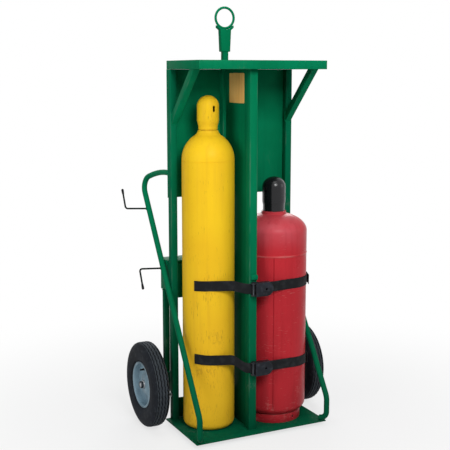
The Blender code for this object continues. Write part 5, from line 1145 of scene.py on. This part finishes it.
# polyester thread, spun: dull grey, a shade above the webbing
thread = moulded("polyester_thread_spun", base="#3a3c40", pale="#4a4c50", rough=0.7, grain_mm=2.0,
                 dust="#77787a", dust_share=0.2)
SEW_SIZE, SEW_STEP, SEW_ROWS = (0.0006, 0.0006, 0.0016), 0.0045, (-0.0190, -0.0065, 0.0065, 0.0190)
for level, tail_z, drum_z, band_z in (("upper", (0.695, 0.697), 0.682, (0.686, 0.680)),
                                      ("lower", (0.363, 0.359), 0.320, (0.318, 0.304))):
    oxygen_lay = OXYGEN_RADIUS + STRAP_LAY
    drum_lay = DRUM_RADIUS + STRAP_LAY
    normal = crossing(SPOOL, drum_lay, OXYGEN_PLAN, oxygen_lay, -1)
    on_bottle = plan_arc(OXYGEN_PLAN, oxygen_lay, TAIL_ANGLE, normal - math.pi, BOTTLE_TURN)
    on_drum = plan_arc(SPOOL, drum_lay, normal, normal - math.pi, BAR_TURN)
    lead = on_drum[0] + (on_bottle[-1] - on_drum[0]).normalized() * STRAP_LEAD
    points = []
    for k, p in enumerate(on_bottle):
        points.append(Vector((p.x, p.y, tail_z[0] + (tail_z[1] - tail_z[0]) * k / (len(on_bottle) - 1))))
    for k in range(1, LEAD_STEPS + 1):
        t = k / LEAD_STEPS
        p = on_bottle[-1].lerp(lead, t)
        fall = min(1.0, max(0.0, (t - FALL_FROM) / (1.0 - FALL_FROM)))
        points.append(Vector((p.x, p.y, tail_z[1] + (drum_z - tail_z[1]) * fall * fall * (3 - 2 * fall))))
    points += [Vector((p.x, p.y, drum_z)) for p in on_drum]
    strap(level + "_strap_tail_webbing", points, polyester, level + "_strap_tail")

    tie = SPOOL + Vector((TIE_OFFSET, 0.0))
    bottle_lay = ACETYLENE_RADIUS + STRAP_LAY
    normal = crossing(tie, TIE_RADIUS + STRAP_LAY, ACETYLENE_PLAN, bottle_lay, 1)
    anchor_lay = ANCHOR_ROD + STRAP_LAY
    reach = bottle_lay + anchor_lay
    bar = ACETYLENE_PLAN + Vector((math.cos(LOOP_ANGLE), math.sin(LOOP_ANGLE))) * reach
    round_tie = plan_arc(tie, TIE_RADIUS + STRAP_LAY, normal + math.pi, normal, BAR_TURN)
    round_bottle = plan_arc(ACETYLENE_PLAN, bottle_lay, normal - math.pi, LOOP_ANGLE, BOTTLE_TURN)
    round_anchor = plan_arc(bar, anchor_lay, LOOP_ANGLE + math.pi, LOOP_ANGLE + 2 * math.pi, BAR_TURN)
    points = [Vector((p.x, p.y, drum_z)) for p in round_tie]
    for k, p in enumerate(round_bottle):
        points.append(Vector((p.x, p.y, band_z[0] + (band_z[1] - band_z[0]) * k / (len(round_bottle) - 1))))
    points += [Vector((p.x, p.y, band_z[1])) for p in round_anchor[1:]]
    fold = Vector((math.cos(FOLD_ANGLE), math.sin(FOLD_ANGLE)))
    last = ACETYLENE_PLAN + fold * (bottle_lay + FOLD_STANDOFF)
    points.append(Vector((last.x, last.y, band_z[1])))
    strap(level + "_strap_band_webbing", points, polyester, level + "_strap_band")
    run = last - round_anchor[-1]
    out = Vector((-run.y, run.x)).normalized()
    if out.dot(last - ACETYLENE_PLAN) < 0.0:
        out = -out
    sewn = [round_anchor[-1] + run * t + out * (STRAP_THICK / 2) for t in SEWN]
    wires, ties = [], []
    for rise in SEW_ROWS:
        wires += [(p.x, p.y, band_z[1] + rise) for p in sewn]
        ties.append((len(wires) - 2, len(wires) - 1))
    for p in sewn:
        wires += [(p.x, p.y, band_z[1] + SEW_ROWS[0]), (p.x, p.y, band_z[1] + SEW_ROWS[-1])]
        ties.append((len(wires) - 2, len(wires) - 1))
    bm = grown("sewing", beads, wires, ties, {"Stud size": SEW_SIZE, "Spacing": SEW_STEP, "Finish": thread})
    finish_piece(level + "_strap_stitching", bm, thread, "cart")

    # anchor loop: an 8 mm zinc plated rod, bent to a closed loop and welded on the right upright, with
    # the band's fold round its free bar
    half = STRAP_WIDE / 2 + ANCHOR_CLEAR + ANCHOR_ROD
    low, middle, high = band_z[1] - half, band_z[1], band_z[1] + half
    corners = [(*bar, middle), (*bar, high), (*ANCHOR_WALL, high),
               (*ANCHOR_WALL, low), (*bar, low), (*bar, middle)]
    path = fillet_path(corners, (ANCHOR_BEND,) * 4, steps=8)[1:]
    bm = grown("anchor", round_bar, path, chain(len(path), closed=True),
               {"Bar radius": ANCHOR_ROD, "Sides": 20, "Finish": zinc})
    finish_piece(level + "_strap_anchor_loop", bm, zinc, "cart", (level + "_strap_anchor",))

    # ratchet: black oxided side plates, slotted drum and sliding pawl, with a moulded nylon grip on the
    # drum's shaft
    softened(level + "_ratchet_frame", level + "_ratchet_side_plates", dark_steel,
             broken_edge=0.0005)
    softened(level + "_ratchet_spool", level + "_ratchet_drum", dark_steel,
             body=level + "_spool", broken_edge=0.0004)
    softened(level + "_ratchet_handle", level + "_ratchet_grip", grip_plastic,
             body=level + "_handle", broken_edge=0.0007)
    softened(level + "_ratchet_pawl", level + "_ratchet_pawl_bar", dark_steel,
             body=level + "_pawl", broken_edge=0.0006)
